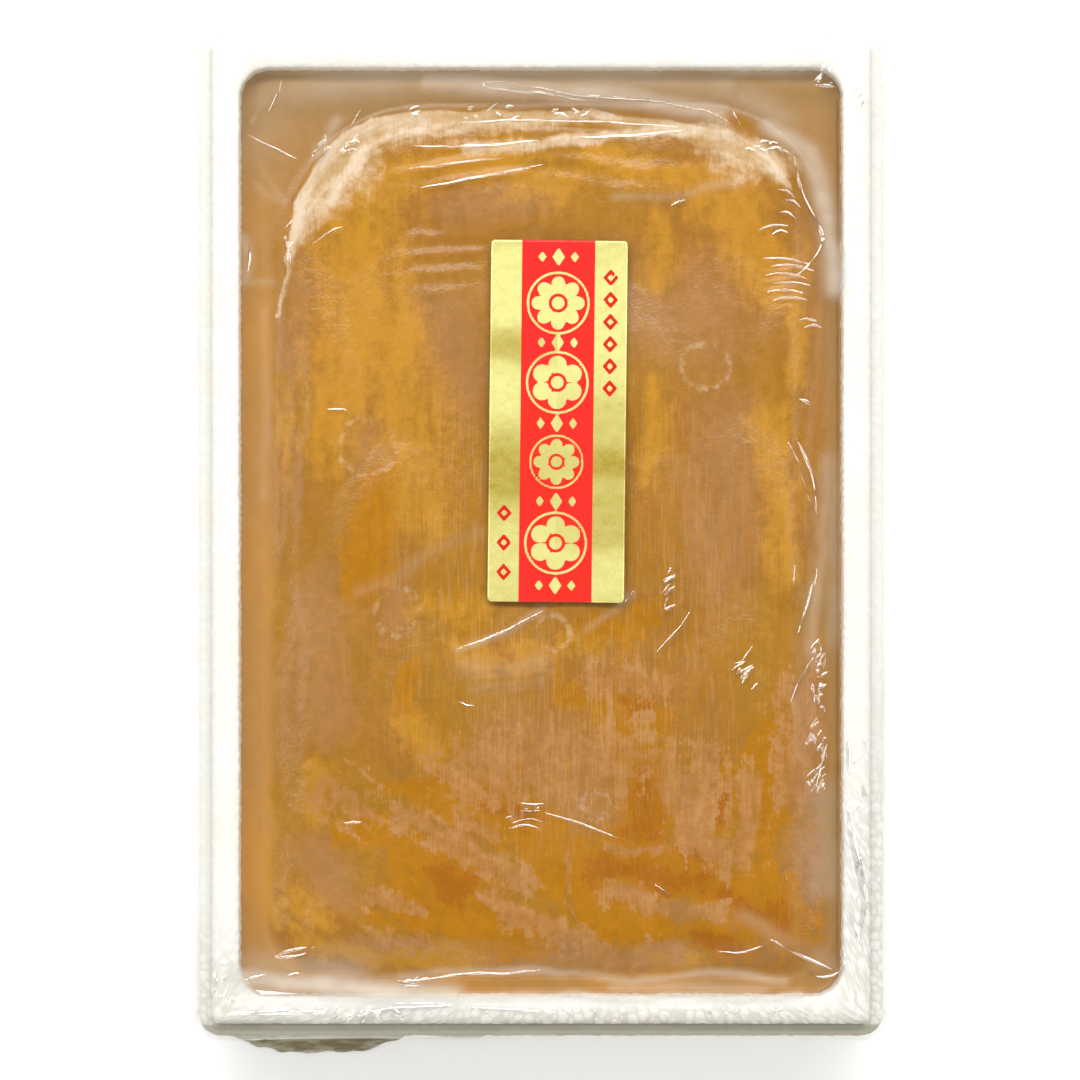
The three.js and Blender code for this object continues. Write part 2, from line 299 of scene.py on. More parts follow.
def smooth(value):
    value = clamp(value)
    return value * value * (3 - 2 * value)


def rising(value, start, length):
    """0 up to the start, then rising smoothly to 1 over a length."""
    return smooth((value - start) / length)


def falling(value, end, length):
    """1 until a length before the end, then falling smoothly to 0."""
    return smooth((end - value) / length)


def hashed(cell, seed):
    """A number from 0 to 1 for each cell, the same on every run."""
    mixed = (cell @ HASH_PRIMES[: cell.shape[-1]] + seed * HASH_SEED_STEP) & HASH_MASK
    mixed = ((mixed ^ (mixed >> 13)) * HASH_SPREAD) & HASH_MASK
    return ((mixed ^ (mixed >> 16)) & HASH_MASK) / HASH_MASK


def noise(points, size, seed):
    """Smooth noise from -1 to 1 at points of two or three numbers, with lumps of about a size."""
    scaled = points / np.asarray(size, float)
    cell = np.floor(scaled).astype(np.int64)
    share = smooth(scaled - cell)
    total = 0
    for corner in itertools.product((0, 1), repeat=points.shape[-1]):
        weight = np.prod(np.where(corner, share, 1 - share), axis=-1)
        total = total + weight * hashed(cell + corner, seed)
    return 2 * total - 1


def layered_noise(points, size, seed, layers=3):
    """Noise with smaller lumps on larger ones, each layer half as large and half as strong."""
    size = np.asarray(size, float)
    total = sum(noise(points, size / 2**k, seed + k) / 2**k for k in range(layers))
    return total / (2 - 2 ** (1 - layers))


def flat_points(x, y):
    return np.stack([x, y], axis=-1)


class Outline:
    """A rectangle seen from above, with four corner radii from the near left one anticlockwise."""

    def __init__(self, left, right, near, far, radii):
        self.left, self.right, self.near, self.far = left, right, near, far
        self.radii = list(radii)

    def inset(self, distance):
        radii = [radius - distance for radius in self.radii]
        return Outline(
            self.left + distance, self.right - distance, self.near + distance, self.far - distance, radii
        )

    def towards(self, other, share):
        mine = np.array([self.left, self.right, self.near, self.far, *self.radii])
        theirs = np.array([other.left, other.right, other.near, other.far, *other.radii])
        left, right, near, far, *radii = mine + (theirs - mine) * share
        return Outline(left, right, near, far, radii)

    def depth(self, x, y):
        """How far points lie inside the outline, negative outside it."""
        on_right = x > (self.left + self.right) / 2
        on_far = y > (self.near + self.far) / 2
        corner_x = np.where(on_right, x - self.right, self.left - x)
        corner_y = np.where(on_far, y - self.far, self.near - y)
        corner = np.where(on_far, 3 - on_right.astype(int), on_right.astype(int))
        radius = np.array(self.radii)[corner]
        beyond = np.hypot(np.maximum(corner_x + radius, 0), np.maximum(corner_y + radius, 0))
        return radius - beyond - np.minimum(np.maximum(corner_x, corner_y) + radius, 0)

    def arc(self, corner, shares):
        radius = self.radii[corner]
        angle = math.pi + (corner + shares) * math.pi / 2
        centre_x = self.right - radius if corner in (1, 2) else self.left + radius
        centre_y = self.far - radius if corner > 1 else self.near + radius
        return flat_points(centre_x + radius * np.cos(angle), centre_y + radius * np.sin(angle))

    def ring(self, cells):
        """Points along the outline, anticlockwise from the middle of its near left arc."""
        parts = []
        for corner in range(4):
            following = (corner + 1) % 4
            leaving, arriving = cells.arcs[corner], cells.arcs[following]
            straight = (cells.along if corner % 2 else cells.across) - leaving - arriving
            start = self.arc(corner, np.array([1.0]))
            end = self.arc(following, np.array([0.0]))
            parts.append(self.arc(corner, 0.5 + np.arange(leaving) / (2 * leaving)))
            parts.append(start + (end - start) * (np.arange(straight) / straight)[:, None])
            parts.append(self.arc(following, np.arange(arriving) / (2 * arriving)))
        return np.concatenate(parts)


def centred(width, length, radius):
    return Outline(-width / 2, width / 2, -length / 2, length / 2, [radius] * 4)


def cells_for(outline, size):
    """How many cells of a size go across and along an outline, and round half of each corner."""
    across = 4 * round((outline.right - outline.left) / size / 4)
    along = 4 * round((outline.far - outline.near) / size / 4)
    arcs = [max(4, round(radius * math.pi / 4 / size)) for radius in outline.radii]
    return SimpleNamespace(across=across, along=along, arcs=arcs)


def halved(cells):
    arcs = [max(2, arc // 2) for arc in cells.arcs]
    return SimpleNamespace(across=cells.across // 2, along=cells.along // 2, arcs=arcs)


def fill(ring, cells):
    """Rows of points that fill a ring, each drawn in from the ring towards its middle."""
    across, along = cells.across, cells.along
    u, v = np.meshgrid(np.linspace(-1, 1, across + 1), np.linspace(-1, 1, along + 1))
    share = np.maximum(np.abs(u), np.abs(v))
    scale = np.where(share > 0, share, 1)
    u, v = u / scale, v / scale
    near = (u + 1) / 2 * across
    right = across + (v + 1) / 2 * along
    far = across + along + (1 - u) / 2 * across
    left = 2 * across + along + (1 - v) / 2 * along
    place = np.select([v <= -1, u >= 1, v >= 1], [near, right, far], left)
    low = np.floor(place).astype(int)
    part = (place - low)[..., None]
    edge = ring[low % len(ring)] * (1 - part) + ring[(low + 1) % len(ring)] * part
    middle = (ring.min(0) + ring.max(0)) / 2
    return middle + (edge - middle) * share[..., None]


class Surface:
    """Points and faces of a closed mesh, built in the order that keeps the solid inside."""

    def __init__(self):
        self.blocks = []
        self.faces = []
        self.size = 0

    def add(self, flat, height):
        """Adds points at a height, or at a height worked out from x and y, and gives their numbers."""
        heights = height(flat[..., 0], flat[..., 1]) if callable(height) else height
        heights = np.broadcast_to(heights, flat.shape[:-1])
        block = np.concatenate([flat, heights[..., None]], axis=-1).reshape(-1, 3)
        numbers = self.size + np.arange(len(block)).reshape(flat.shape[:-1])
        self.blocks.append(block)
        self.size += len(block)
        return numbers

    def join(self, a, b):
        """Joins two rings of as many points, or where one has half as many as the other."""
        if len(a) == len(b):
            self.faces.append(np.stack([a, np.roll(a, -1), np.roll(b, -1), b], axis=1))
        else:
            fine, coarse = (a, b) if len(a) > len(b) else (b, a)
            even, odd, after = fine[::2], fine[1::2], np.roll(fine[::2], -1)
            following = np.roll(coarse, -1)
            for triangle in ([even, odd, coarse], [odd, following, coarse], [odd, after, following]):
                self.faces.append(np.stack(triangle if fine is a else triangle[::-1], axis=1))

    def join_in_order(self, rings):
        for a, b in itertools.pairwise(rings):
            self.join(a, b)

    def cap(self, ring, middle, faces_up):
        """Closes a ring with a fan of triangles to a middle point."""
        point = self.add(np.array([middle[:2]], float), middle[2])[0]
        points = np.full(len(ring), point)
        following = np.roll(ring, -1)
        ends = [ring, following] if faces_up else [following, ring]
        self.faces.append(np.stack([points, *ends], axis=1))

    def sheet(self, rows, height, faces_up):
        """Adds rows of points as a sheet, and gives its edge as a ring."""
        at = self.add(rows, height)
        cell = [at[:-1, :-1], at[:-1, 1:], at[1:, 1:], at[1:, :-1]]
        if not faces_up:
            cell.reverse()
        self.faces.append(np.stack([corner.ravel() for corner in cell], axis=1))
        return np.concatenate([at[0, :-1], at[:-1, -1], at[-1, :0:-1], at[:0:-1, 0]])

    def plate(self, rows, under, over):
        """Adds rows of points twice, as the lower and the upper face of a thin piece."""
        self.join(self.sheet(rows, under, False), self.sheet(rows, over, True))

    def points(self):
        return np.concatenate(self.blocks)


def vertex_normals(mesh):
    normals = np.empty(len(mesh.vertices) * 3, np.float32)
    mesh.vertex_normals.foreach_get("vector", normals)
    return normals.reshape(-1, 3)


def make_piece(name, surface, material, replaced=(), relief=None, values=None):
    """A mesh object from a surface, pushed out along its normals by a relief in millimetres."""
    points = surface.points()
    faces = [face for block in surface.faces for face in block.tolist()]
    mesh = bpy.data.meshes.new(name)
    mesh.from_pydata(points * MM, [], faces)
    if relief is not None:
        points = points + vertex_normals(mesh) * relief[:, None]
        mesh.vertices.foreach_set("co", (points * MM).astype(np.float32).ravel())
    mesh.polygons.foreach_set("use_smooth", np.ones(len(mesh.polygons), bool))
    mesh.update()
    for key, numbers in (values or {}).items():
        layer = mesh.attributes.new(key, "FLOAT", "POINT")
        layer.data.foreach_set("value", np.asarray(numbers, np.float32))
    mesh.materials.append(material)
    piece = bpy.data.objects.new(name, mesh)
    bpy.context.scene.collection.objects.link(piece)
    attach(piece, "root")
    if replaced:
        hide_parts(*replaced)
    return piece


LEDGE_HEIGHT = TRAY_HEIGHT - LEDGE_DROP
LEDGE = centred(TRAY_WIDTH, TRAY_LENGTH, TRAY_CORNER)
LIP = centred(TRAY_WIDTH - 2 * LEDGE_WIDTH, TRAY_LENGTH - 2 * LEDGE_WIDTH, LIP_CORNER)
CAVITY_IN = LEDGE_WIDTH + LIP_WIDTH
CAVITY = centred(TRAY_WIDTH - 2 * CAVITY_IN, TRAY_LENGTH - 2 * CAVITY_IN, CAVITY_CORNER)
ROE = Outline(roe_low.x, roe_high.x, roe_low.y, roe_high.y, ROE_CORNERS)
LABEL_X = (label_low.x + label_high.x) / 2
LABEL_Y = (label_low.y + label_high.y) / 2


# Height of the roe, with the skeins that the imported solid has

def drawer(seed):
    """A function that draws numbers between two limits, the same ones on every run."""
    state = seed

    def draw(low, high):
        nonlocal state
        state = (state * DRAW_FACTOR + DRAW_STEP) & HASH_MASK
        return low + (high - low) * state / 2**32

    return draw


def lay_skeins():
    draw = drawer(SKEIN_SEED)
    skeins = []
    for row, column in itertools.product(range(SKEIN_ROWS), range(SKEIN_COLUMNS)):
        row_y = CAVITY.near + (CAVITY.far - CAVITY.near) * (row + 0.5) / SKEIN_ROWS
        place = column + SKEIN_STAGGER[row % 2]
        column_x = CAVITY.left + (CAVITY.right - CAVITY.left) * place / SKEIN_COLUMNS
        skeins.append(
            SimpleNamespace(
                x=column_x + draw(-SKEIN_SHIFT_X, SKEIN_SHIFT_X),
                y=row_y + draw(-SKEIN_SHIFT_Y, SKEIN_SHIFT_Y),
                turn=draw(-SKEIN_TURN, SKEIN_TURN),
                length=SKEIN_LENGTH * draw(*SKEIN_LENGTHS),
                width=SKEIN_WIDTH * draw(*SKEIN_WIDTHS),
                height=SKEIN_HEIGHT * draw(*SKEIN_HEIGHTS),
            )
        )
    return skeins


SKEINS = lay_skeins()


def skein_height(x, y):
    highest = np.zeros_like(x)
    for skein in SKEINS:
        dx, dy = x - skein.x, y - skein.y
        along = dy * math.cos(skein.turn) - dx * math.sin(skein.turn)
        across = dx * math.cos(skein.turn) + dy * math.sin(skein.turn)
        share = np.hypot(2 * along / skein.length, 2 * across / skein.width)
        highest = np.maximum(highest, skein.height * smooth(SKEIN_REACH - share))
    return highest


# Fields of colour on the slab: each stroke is its half width and the points along it

GOLD_STROKES = [
    (11, (-50, 80), (-48, 62), (-53, 42), (-58, 28)), (7, (-40, 58), (-39, 46)),
    (9, (-37, 36), (-33, 20), (-36, 6)), (5, (-57, 88), (-44, 95), (-28, 99), (-8, 102.5)),
    (4, (12, 101), (28, 98.5), (42, 95.5), (54, 94.5)), (7, (46, 91), (54, 85), (60, 76), (63, 68)),
    (5, (-5, 96), (6, 93)), (3.5, (32, 84), (34, 77), (32, 68)), (3, (69, 62), (71, 50), (70, 42)),
    (5, (63, 30), (64, 15), (65, 0), (66, -10)), (3, (31, 38), (31, 28), (28, 16)),
    (3.5, (-61, -65), (-62, -76)), (1.8, (-76, -63), (-76, -84), (-74, -96), (-71, -108)),
    (4, (-68, -100), (-61, -106)), (4, (-64, -112), (-40, -115), (-16, -114)),
    (4, (-30, -20), (-17, -20)), (3.5, (-22, -32), (-8, -35), (2, -34)), (3, (26, -114), (42, -115)),
    (4, (8, -30), (22, -27)), (5, (-36, -52), (-30, -60)),
]
CLEAR_STROKES = [
    (4.3, (-45, 12), (-47, 2), (-47.5, -13)), (2, (-37, -36), (-36.5, -46)),
    (2, (-38, -68), (-30, -69.5), (-23, -71.5)), (4, (-28, -73), (-17, -76), (-9, -77)),
    (0.9, (-22, -66.8), (-18, -67.3), (-14.8, -69.3)), (2.4, (-13, -78), (-13, -85)),
    (5, (-5, -80), (2, -84), (4, -93)), (3.2, (-52, -81), (-42, -81), (-34, -85)),
    (4.5, (-37, -88), (-27, -91), (-21, -94)), (6, (-37, -98), (-27, -102), (-17, -104)),
    (4, (-18, -108), (-8, -110), (0, -109)), (5.5, (29, -63), (29, -75), (29, -84)),
    (3.2, (51, -67), (49, -74), (48, -79)), (3.2, (8, -46), (20, -50), (32, -52)),
    (3.5, (8, -86), (20, -88), (33, -88)),
    (4.8, (14, -90), (30, -92), (42, -94), (54, -99), (70, -108)),
    (4.5, (12, -94), (14, -102), (22, -106.5), (32, -107)), (2.6, (42, -109), (50, -111), (56, -111)),
    (4, (63, -69), (62, -76), (61, -81)), (4, (60, -92), (65, -98), (68, -105)),
    (3, (64, -56), (60, -62)), (3, (14, -26), (24, -25), (30, -22)), (1.2, (21, -45.5), (30, -48.5)),
]
DEEP_STROKES = [
    (5, (29, -66), (28, -80)), (3, (50, -70), (48, -77)), (3.5, (-28, -94), (-21, -97)),
    (3, (-14, -75), (-9, -76)), (4, (16, -90), (30, -92), (44, -95)), (2.5, (38, -86), (47, -88)),
    (1.5, (22, -46), (30, -48.5)), (1.5, (-11, -31), (-8, -34)), (2.5, (52, -99), (66, -106)),
    (2, (44, -110), (54, -112)),
]
PALE_STROKES = [
    (11, (-6, -57), (8, -62), (12, -72)), (3.6, (20, -98.5), (32, -101.5), (45, -102.5), (56, -105)),
    (9, (-26, 60), (-20, 40)), (12, (20, 62), (44, 58)), (10, (50, 30), (50, -10)),
    (6.5, (-47.3, 25), (-47.3, 22)), (6, (-38.8, -21), (-38.8, -23)), (7, (-60, -14), (-58, -50)),
    (6, (-62, -88), (-56, -98)), (7, (70, -70), (72, -100)), (2, (-71, 56), (-69.5, 46)),
    (4, (-26, 88), (-10, 90), (2, 91)), (5, (40, -70), (44, -80)), (6, (-10, -118), (40, -119)),
]
# Outer edge of the white rime round the far side: x, y and how far it reaches inwards
FROST_EDGE = [
    (-72.3, 60, 1.6), (-71, 67, 2.4), (-69.8, 75, 3.2), (-67.6, 88.8, 13), (-61.4, 101, 22),
    (-54.3, 109.6, 20), (-46.4, 113.5, 13), (-30.6, 115.3, 11), (-10, 115, 8), (12, 115.2, 6),
    (24.7, 114, 5), (38.4, 112, 7), (49.7, 109.6, 12), (57.4, 105, 13), (66, 101.2, 9), (68.2, 95, 3),
]
# Thin lines and patches of the rime
FROST_STROKES = [
    (1.2, (-20, 104), (0, 105.5), (9, 106.8), (25, 107), (38, 108.5)),
    (3.4, (44, 108), (54, 104), (64, 99)),
]
# Pinkish ice over the clear parts of the near half
ICE_STROKES = [
    (5, (33, -60), (37, -72), (41, -82), (52, -88)), (4, (44, -60), (44, -76)),
    (4.5, (56, -68), (55, -84)), (1.5, (20, -84.5), (28, -87), (36, -87.5)),
    (2.6, (-14, -99), (-7, -104), (4, -108)), (3, (4, -108), (12, -113), (22, -116)),
    (3.2, (-38, -78), (-26, -84), (-15, -90), (-6, -94)), (2.6, (-22, -79), (-14, -82)),
    (1, (7.5, -86), (8, -98), (12, -108)), (6, (72, -44), (70, -58), (68, -70)),
    (2.4, (-44, -98), (-34, -101)), (2.6, (20, -98), (34, -101), (48, -103)),
    (6, (-60, -70), (-50, -74)), (2.4, (22, -115), (36, -114)), (9, (-20, -66), (8, -64), (20, -60)),
    (2.2, (-50, -110), (-30, -112)), (4, (12, -40), (30, -42)),
]
# Ripples in the ice: middle x and y, half width, half length, direction of the crests, spacing and height
ICE_RIPPLES = [
    (-27, 74, 13, 14, 4, 5.4, 0.22), (-22, 99, 22, 7, 9, 5.2, 0.2), (67, 68, 6.5, 8, 8, 2.5, 0.14),
    (66, 88, 6, 6, -25, 2.7, 0.12), (20, 98, 30, 7, -6, 6, 0.16), (-10, -40, 14, 5, 6, 2.6, 0.08),
    (72, 20, 6, 26, 82, 4.5, 0.14), (-68, 20, 8, 60, 88, 7, 0.12),
]
# Round marks that the film pressed into the ice: (x, y, radius)
RINGS = [(-47.3, 23.3, 7.4), (-38.8, -22, 6.4), (44.5, 45, 6.2), (15, -74, 3.6), (3.5, -27, 4.5)]
RING_HALF_WIDTH = 0.7
SCRAPED_MIDDLE = (10, -22)  # middle of the part with fine scratches along the slab
SCRAPED_REACH = (66, 74)
SLANT = 0.6  # turn of the slanting streaks, in radians
STREAK_WIDTH = 2.4
STREAK_LENGTH = 17
# Where the streaks follow the slab's edge and where they slant: start or end, and length of the change
EDGE_STREAKS_Y = (50, 30)
EDGE_STREAKS_DEPTH = (34, 20)
SLANT_Y = (-38, 30)
SLANT_X = (14, 40)
STROKE_WANDER_SIZE = 11
FROST_WANDER = 1.2
FROST_EDGE_WIDTH = 1.2


def from_segments(x, y, points):
    """Each part of a bent line, with the share along it and the way from it to each place."""
    points = np.asarray(points, float)
    for start, step in zip(points, np.diff(points, axis=0)):
        dx, dy = x - start[0], y - start[1]
        share = clamp((dx * step[0] + dy * step[1]) / (step[:2] @ step[:2]))
        yield start, step, share, dx - share * step[0], dy - share * step[1]


def line_distance(x, y, points):
    """Distance from a bent line."""
    nearest = np.full(x.shape, np.inf)
    for *_, away_x, away_y in from_segments(x, y, points):
        nearest = np.minimum(nearest, np.hypot(away_x, away_y))
    return nearest


def wandering(x, y, amount, size, seeds, layers=3):
    """Places moved about a little, so that what is drawn at them gets a wandering outline."""
    flat = flat_points(x, y)
    return [at + amount * layered_noise(flat, size, seed, layers) for at, seed in zip((x, y), seeds)]


def stroke_field(x, y, strokes, wander, seed):
    """1 along the middle of strokes, 0.5 at their half width and -1 far off, with wandering outlines."""
    x, y = wandering(x, y, wander, STROKE_WANDER_SIZE, (seed, seed + 10), 5)
    highest = np.full(x.shape, -1.0)
    for half_width, *points in strokes:
        highest = np.maximum(highest, 1 - line_distance(x, y, points) / (2 * half_width))
    return highest


def streak_field(x, y):
    """Streaks in the ice, from 0 to 1: along the slab's edge on the far side, slanting near the near
    left corner and lengthways elsewhere."""
    flat = flat_points(x, y)
    drift = 2.4 * layered_noise(flat, 15, 47) + 0.5 * layered_noise(flat, 3, 48)
    depth = ROE.depth(x, y)
    rim = rising(y, *EDGE_STREAKS_Y) * falling(depth, *EDGE_STREAKS_DEPTH)
    slant = (1 - rim) * falling(y, *SLANT_Y) * falling(x, *SLANT_X)
    slanting = x * math.sin(SLANT) + y * math.cos(SLANT)
    total = np.zeros_like(x)
    for weight, place in ((rim, depth), (slant, slanting), (1 - rim - slant, x)):
        along = flat / STREAK_LENGTH
        points = np.stack([(place + drift) / STREAK_WIDTH, along[..., 0], along[..., 1]], axis=-1)
        total += weight * layered_noise(points, 1, 49, 4)
    return 0.5 + 0.5 * total


def edge_side(x, y, edge):
    """Distance from a bent line, positive on its right, and the reach of its nearest point."""
    nearest = np.full(x.shape, np.inf)
    inside = np.zeros(x.shape)
    reach = np.ones(x.shape)
    for start, step, share, away_x, away_y in from_segments(x, y, edge):
        distance = np.hypot(away_x, away_y)
        closer = distance < nearest
        nearest = np.where(closer, distance, nearest)
        inside = np.where(closer, distance * np.sign(away_x * step[1] - away_y * step[0]), inside)
        reach = np.where(closer, start[2] + share * step[2], reach)
    return inside, reach


def frost_field(x, y):
    """1 close inside the outer edge of the rime, fading to 0 inwards and at once outside it."""
    bent_x, bent_y = wandering(x, y, FROST_WANDER, 7, (35, 36), 4)
    inside, reach = edge_side(bent_x, bent_y, FROST_EDGE)
    rime = np.clip(np.minimum(inside / FROST_EDGE_WIDTH, 1.1 - inside / reach), -1, 1)
    return np.maximum(rime, stroke_field(x, y, FROST_STROKES, 3, 31))


def ice_ripples(x, y):
    total = np.zeros_like(x)
    for middle_x, middle_y, half_x, half_y, direction, spacing, height in ICE_RIPPLES:
        turn = math.radians(direction)
        dx, dy = x - middle_x, y - middle_y
        across = dy * math.cos(turn) - dx * math.sin(turn) + 0.8 * noise(flat_points(x, y), 9, 46)
        share = np.hypot(dx / half_x, dy / half_y)
        total += height * np.sin(across / spacing * 2 * math.pi) * smooth(1.3 - share)
    return total


def ring_field(x, y):
    """1 on the lines of the round marks, fading to 0."""
    x, y = wandering(x, y, 0.9, 5, (27, 28), 1)
    lines = [1 - np.abs(np.hypot(x - ring_x, y - ring_y) - radius) for ring_x, ring_y, radius in RINGS]
    return smooth(np.max(lines, axis=0) / RING_HALF_WIDTH)


def slab_height(x, y):
    """The slab without its ice and its finest relief."""
    top = ROE_PLATEAU + skein_height(x, y)
    shoulder = ROE_SHOULDER - FAR_SHOULDER_CUT * rising(y, 60, 60)
    return SAUCE_LEVEL + (top - SAUCE_LEVEL) * smooth(ROE.depth(x, y) / shoulder)


def roe_height(x, y):
    flat = flat_points(x, y)
    eggs = EGG_RELIEF * noise(flat, EGG_SIZE, 41) + LUMP_RELIEF * layered_noise(flat, LUMP_SIZE, 42, 4)
    rime = np.maximum(frost_field(x, y), stroke_field(x, y, ICE_STROKES, 3, 33))
    streaks = ICE_STREAK_RELIEF * (streak_field(x, y) - 0.5)
    thickness = ICE_THICKNESS + streaks + ICE_GRAIN_RELIEF * layered_noise(flat, 2.4, 56)
    ice = rising(rime, 0.1, 0.6) * thickness
    relief = (eggs + ice + ice_ripples(x, y)) * (1 - LABEL_SMOOTHING * label_cover(x, y))
    return slab_height(x, y) + relief * smooth(ROE.depth(x, y) / 5)


# Creases that catch the light: half width and the points along each
CREASES = [
    # Flattened loop along the far side
    (0.5, (-9, 121.7), (-14, 121.9), (-15.9, 121), (-14.7, 120.2), (-0.3, 118.6), (12, 116.8)),
    (0.5, (-11, 121.8), (-0.3, 119.9), (13.4, 117.5), (30, 116.8), (39.5, 114.8), (45.7, 113.7),
     (51, 110.6)),
    (0.3, (-4, 111.5), (19.6, 110.8), (37, 109.5)), (0.4, (52, 114), (54, 110)),
    # Round the far right corner of the slab
    (0.6, (68.5, 102), (69.3, 96.3), (71.2, 90), (75.5, 82.6), (76.7, 78.6), (74.6, 73.9), (69, 69)),
    (0.5, (35.2, 88.5), (39.2, 89.8)), (0.5, (73.7, 121.8), (76.5, 124.3)),
    (0.5, (75, 121), (79.5, 120.6)),
    # Drawn in from the far left part of the lip
    (0.4, (-70.5, 122.5), (-71.5, 117.5), (-74.1, 113.5)), (0.32, (-79, 107.1), (-66, 101.1)),
    (0.3, (-51.5, 110), (-48.5, 114.4)), (0.35, (-61.8, 78.1), (-57, 81.5), (-53, 82.6)),
    # Pulled across the far left of the slab, rising to the right
    (0.5, (-35.8, 98.7), (-26.7, 99.1), (-10, 101.3)), (0.6, (-33, 93.1), (-14, 96.3), (1, 99.6)),
    (0.5, (-34.6, 104.4), (-19.5, 104.1), (0, 105.9)), (0.35, (-22, 110.8), (0, 111.7)),
    (0.6, (9, 106.7), (25, 106.9), (38, 108.6)), (0.5, (-79, 78), (-79.3, 70.5)),
    # Right of the label
    (0.6, (70, 36), (73, 34.6)), (0.5, (69, 25.5), (72.1, 19.6), (74.3, 12.8), (74.6, 5)),
    (0.3, (66.8, 24.6), (70.5, 17), (73, 8)), (0.3, (68.7, -8.5), (68.4, -13.8)),
    (0.7, (74.7, -10), (72.1, -20.8), (69.5, -28.4)), (0.7, (73.9, -34), (70, -40.7), (67.5, -46)),
    (0.5, (40.6, -21), (37, -27), (31.4, -32.6)), (0.5, (25, -16), (22, -20.4)),
    (0.45, (57.4, -31), (53.3, -36.4)), (0.8, (54, -39.8), (57.8, -36.7)),
    (0.5, (58.6, -40.8), (56.8, -43.5)),
    # On the lip near the near right corner
    (1.1, (83.2, -70), (83.6, -80.6), (86.4, -91.5), (87.7, -99.6), (85.8, -111.8)),
    (0.8, (82.4, -52), (83.4, -60), (83.2, -66)), (0.8, (83.5, -103), (86, -110)),
    (0.9, (-84, -130.5), (-70, -129.4), (-58, -129.8)), (1.1, (-50, -131), (-40, -128.4), (-24, -128)),
    (0.9, (-47, -128.5), (-43, -132.5)), (0.8, (-41, -128), (-37, -132)),
    (0.8, (-20, -128.6), (0, -129.2)),
    # Near right corner
    (0.5, (62, -110.2), (70, -114.6), (78.6, -118.3)),
    (0.35, (47.6, -113.6), (53.8, -114.5), (60, -112)), (0.5, (30.8, -95.4), (35.2, -98.8)),
    (0.5, (66.4, -93), (65.4, -97.2)),
    (0.4, (71.8, -118), (74.3, -120.6), (80.5, -120), (82.8, -116.7), (81.6, -113)),
    (0.4, (78, -56), (74.2, -69.5)), (0.3, (0, -75.7), (10, -78.4), (20.5, -82.8)),
    # Near side
    (0.4, (-38.8, -121.5), (-31, -121.3), (-20.7, -119.2), (-10.4, -119.8), (-0.3, -118.5)),
    (0.5, (-72.3, -115.2), (-67, -113), (-61.5, -112.4)),
    (0.5, (-72, -115.5), (-66, -115), (-61.8, -113.2)), (0.5, (-68.6, -120.1), (-65.5, -119.3)),
    (0.4, (-80.5, -121.3), (-74.5, -120.1)),
    # Middle
    (0.5, (-53.4, -78.8), (-48.6, -78.6)), (0.4, (-22.8, -31.8), (-10.4, -27.4), (0.5, -21.6)),
    (0.5, (-58.2, 33.1), (-52.6, 33)), (0.4, (-22, -46), (-20, -47.2), (-18.2, -46.9)),
    (0.6, (-5.5, -73.6), (-2.5, -74.1), (0, -73.7)), (0.6, (-5.3, -75.6), (-2.7, -76.1), (0, -75.5)),
]
# Parallel ripples: half width, first line, last line and how many
RIPPLES = [
    (0.45, ((65, 92.6), (69.3, 90.4)), ((65.4, 86.6), (69.6, 84.6)), 3),
    (0.5, ((59.6, 81.8), (67.6, 83)), ((61.5, 80.3), (66, 80.9)), 2),
    (0.42, ((61, 74.2), (73.4, 72.6)), ((62, 62.6), (71.5, 62.6)), 6),
    (0.4, ((70.6, 57.3), (75.6, 56.8)), ((70.4, 54.8), (75, 55)), 2),
    (0.35, ((-9, -77.5), (-0.5, -77)), ((-8, -80.5), (0, -80)), 3),
]
# Crinkled places with short creases: x, y, half width, half length, direction in degrees, how many
CRINKLES = [
    (75.2, -39, 1.5, 10, 80, 26), (74.8, -61, 2.2, 10, 72, 30), (55.3, -38, 2.6, 2.6, 45, 7),
    (77.5, 123, 3, 2, 40, 7), (-34, -121.5, 3, 1.6, 15, 9), (34.3, -14.5, 0.8, 6, 60, 9),
    (86.5, -82, 1.6, 30, 86, 18), (-54, -130.5, 8, 1.8, 62, 14), (25, -130.5, 48, 1.6, 84, 16),
    (-86, -121, 2.5, 6, 60, 10), (62, 104, 6, 1.6, -20, 9), (-2.5, -75, 2.4, 1.6, 0, 6),
    (-14, 113, 26, 2, 3, 16), (-56, 105, 7, 3, 48, 12), (-68.5, 80, 1, 10, 78, 8),
    (86.5, 118, 2, 5, 70, 8),
]
CRINKLE_SEED = 19
# Small blisters: (x, y)
BLISTERS = [
    (35.8, 33.9), (28.3, 7.2), (-36.7, -14), (-53.3, -23.5), (-61.7, -9), (-26.2, 10.6), (17.7, -106.2),
    (41.4, -103), (-67.8, -107.6), (-68.4, -6.6), (-54, -1.6), (-60, 71.5), (-56, 67), (12, -14),
    (60, -50), (-64, -28), (55.4, -28.9), (4, -59), (-40, -60), (-8, -63), (22, -60), (50, 12),
    (44, -4),
]
BLISTER_SIZE = 0.9
BLISTER_HEIGHT = 0.3
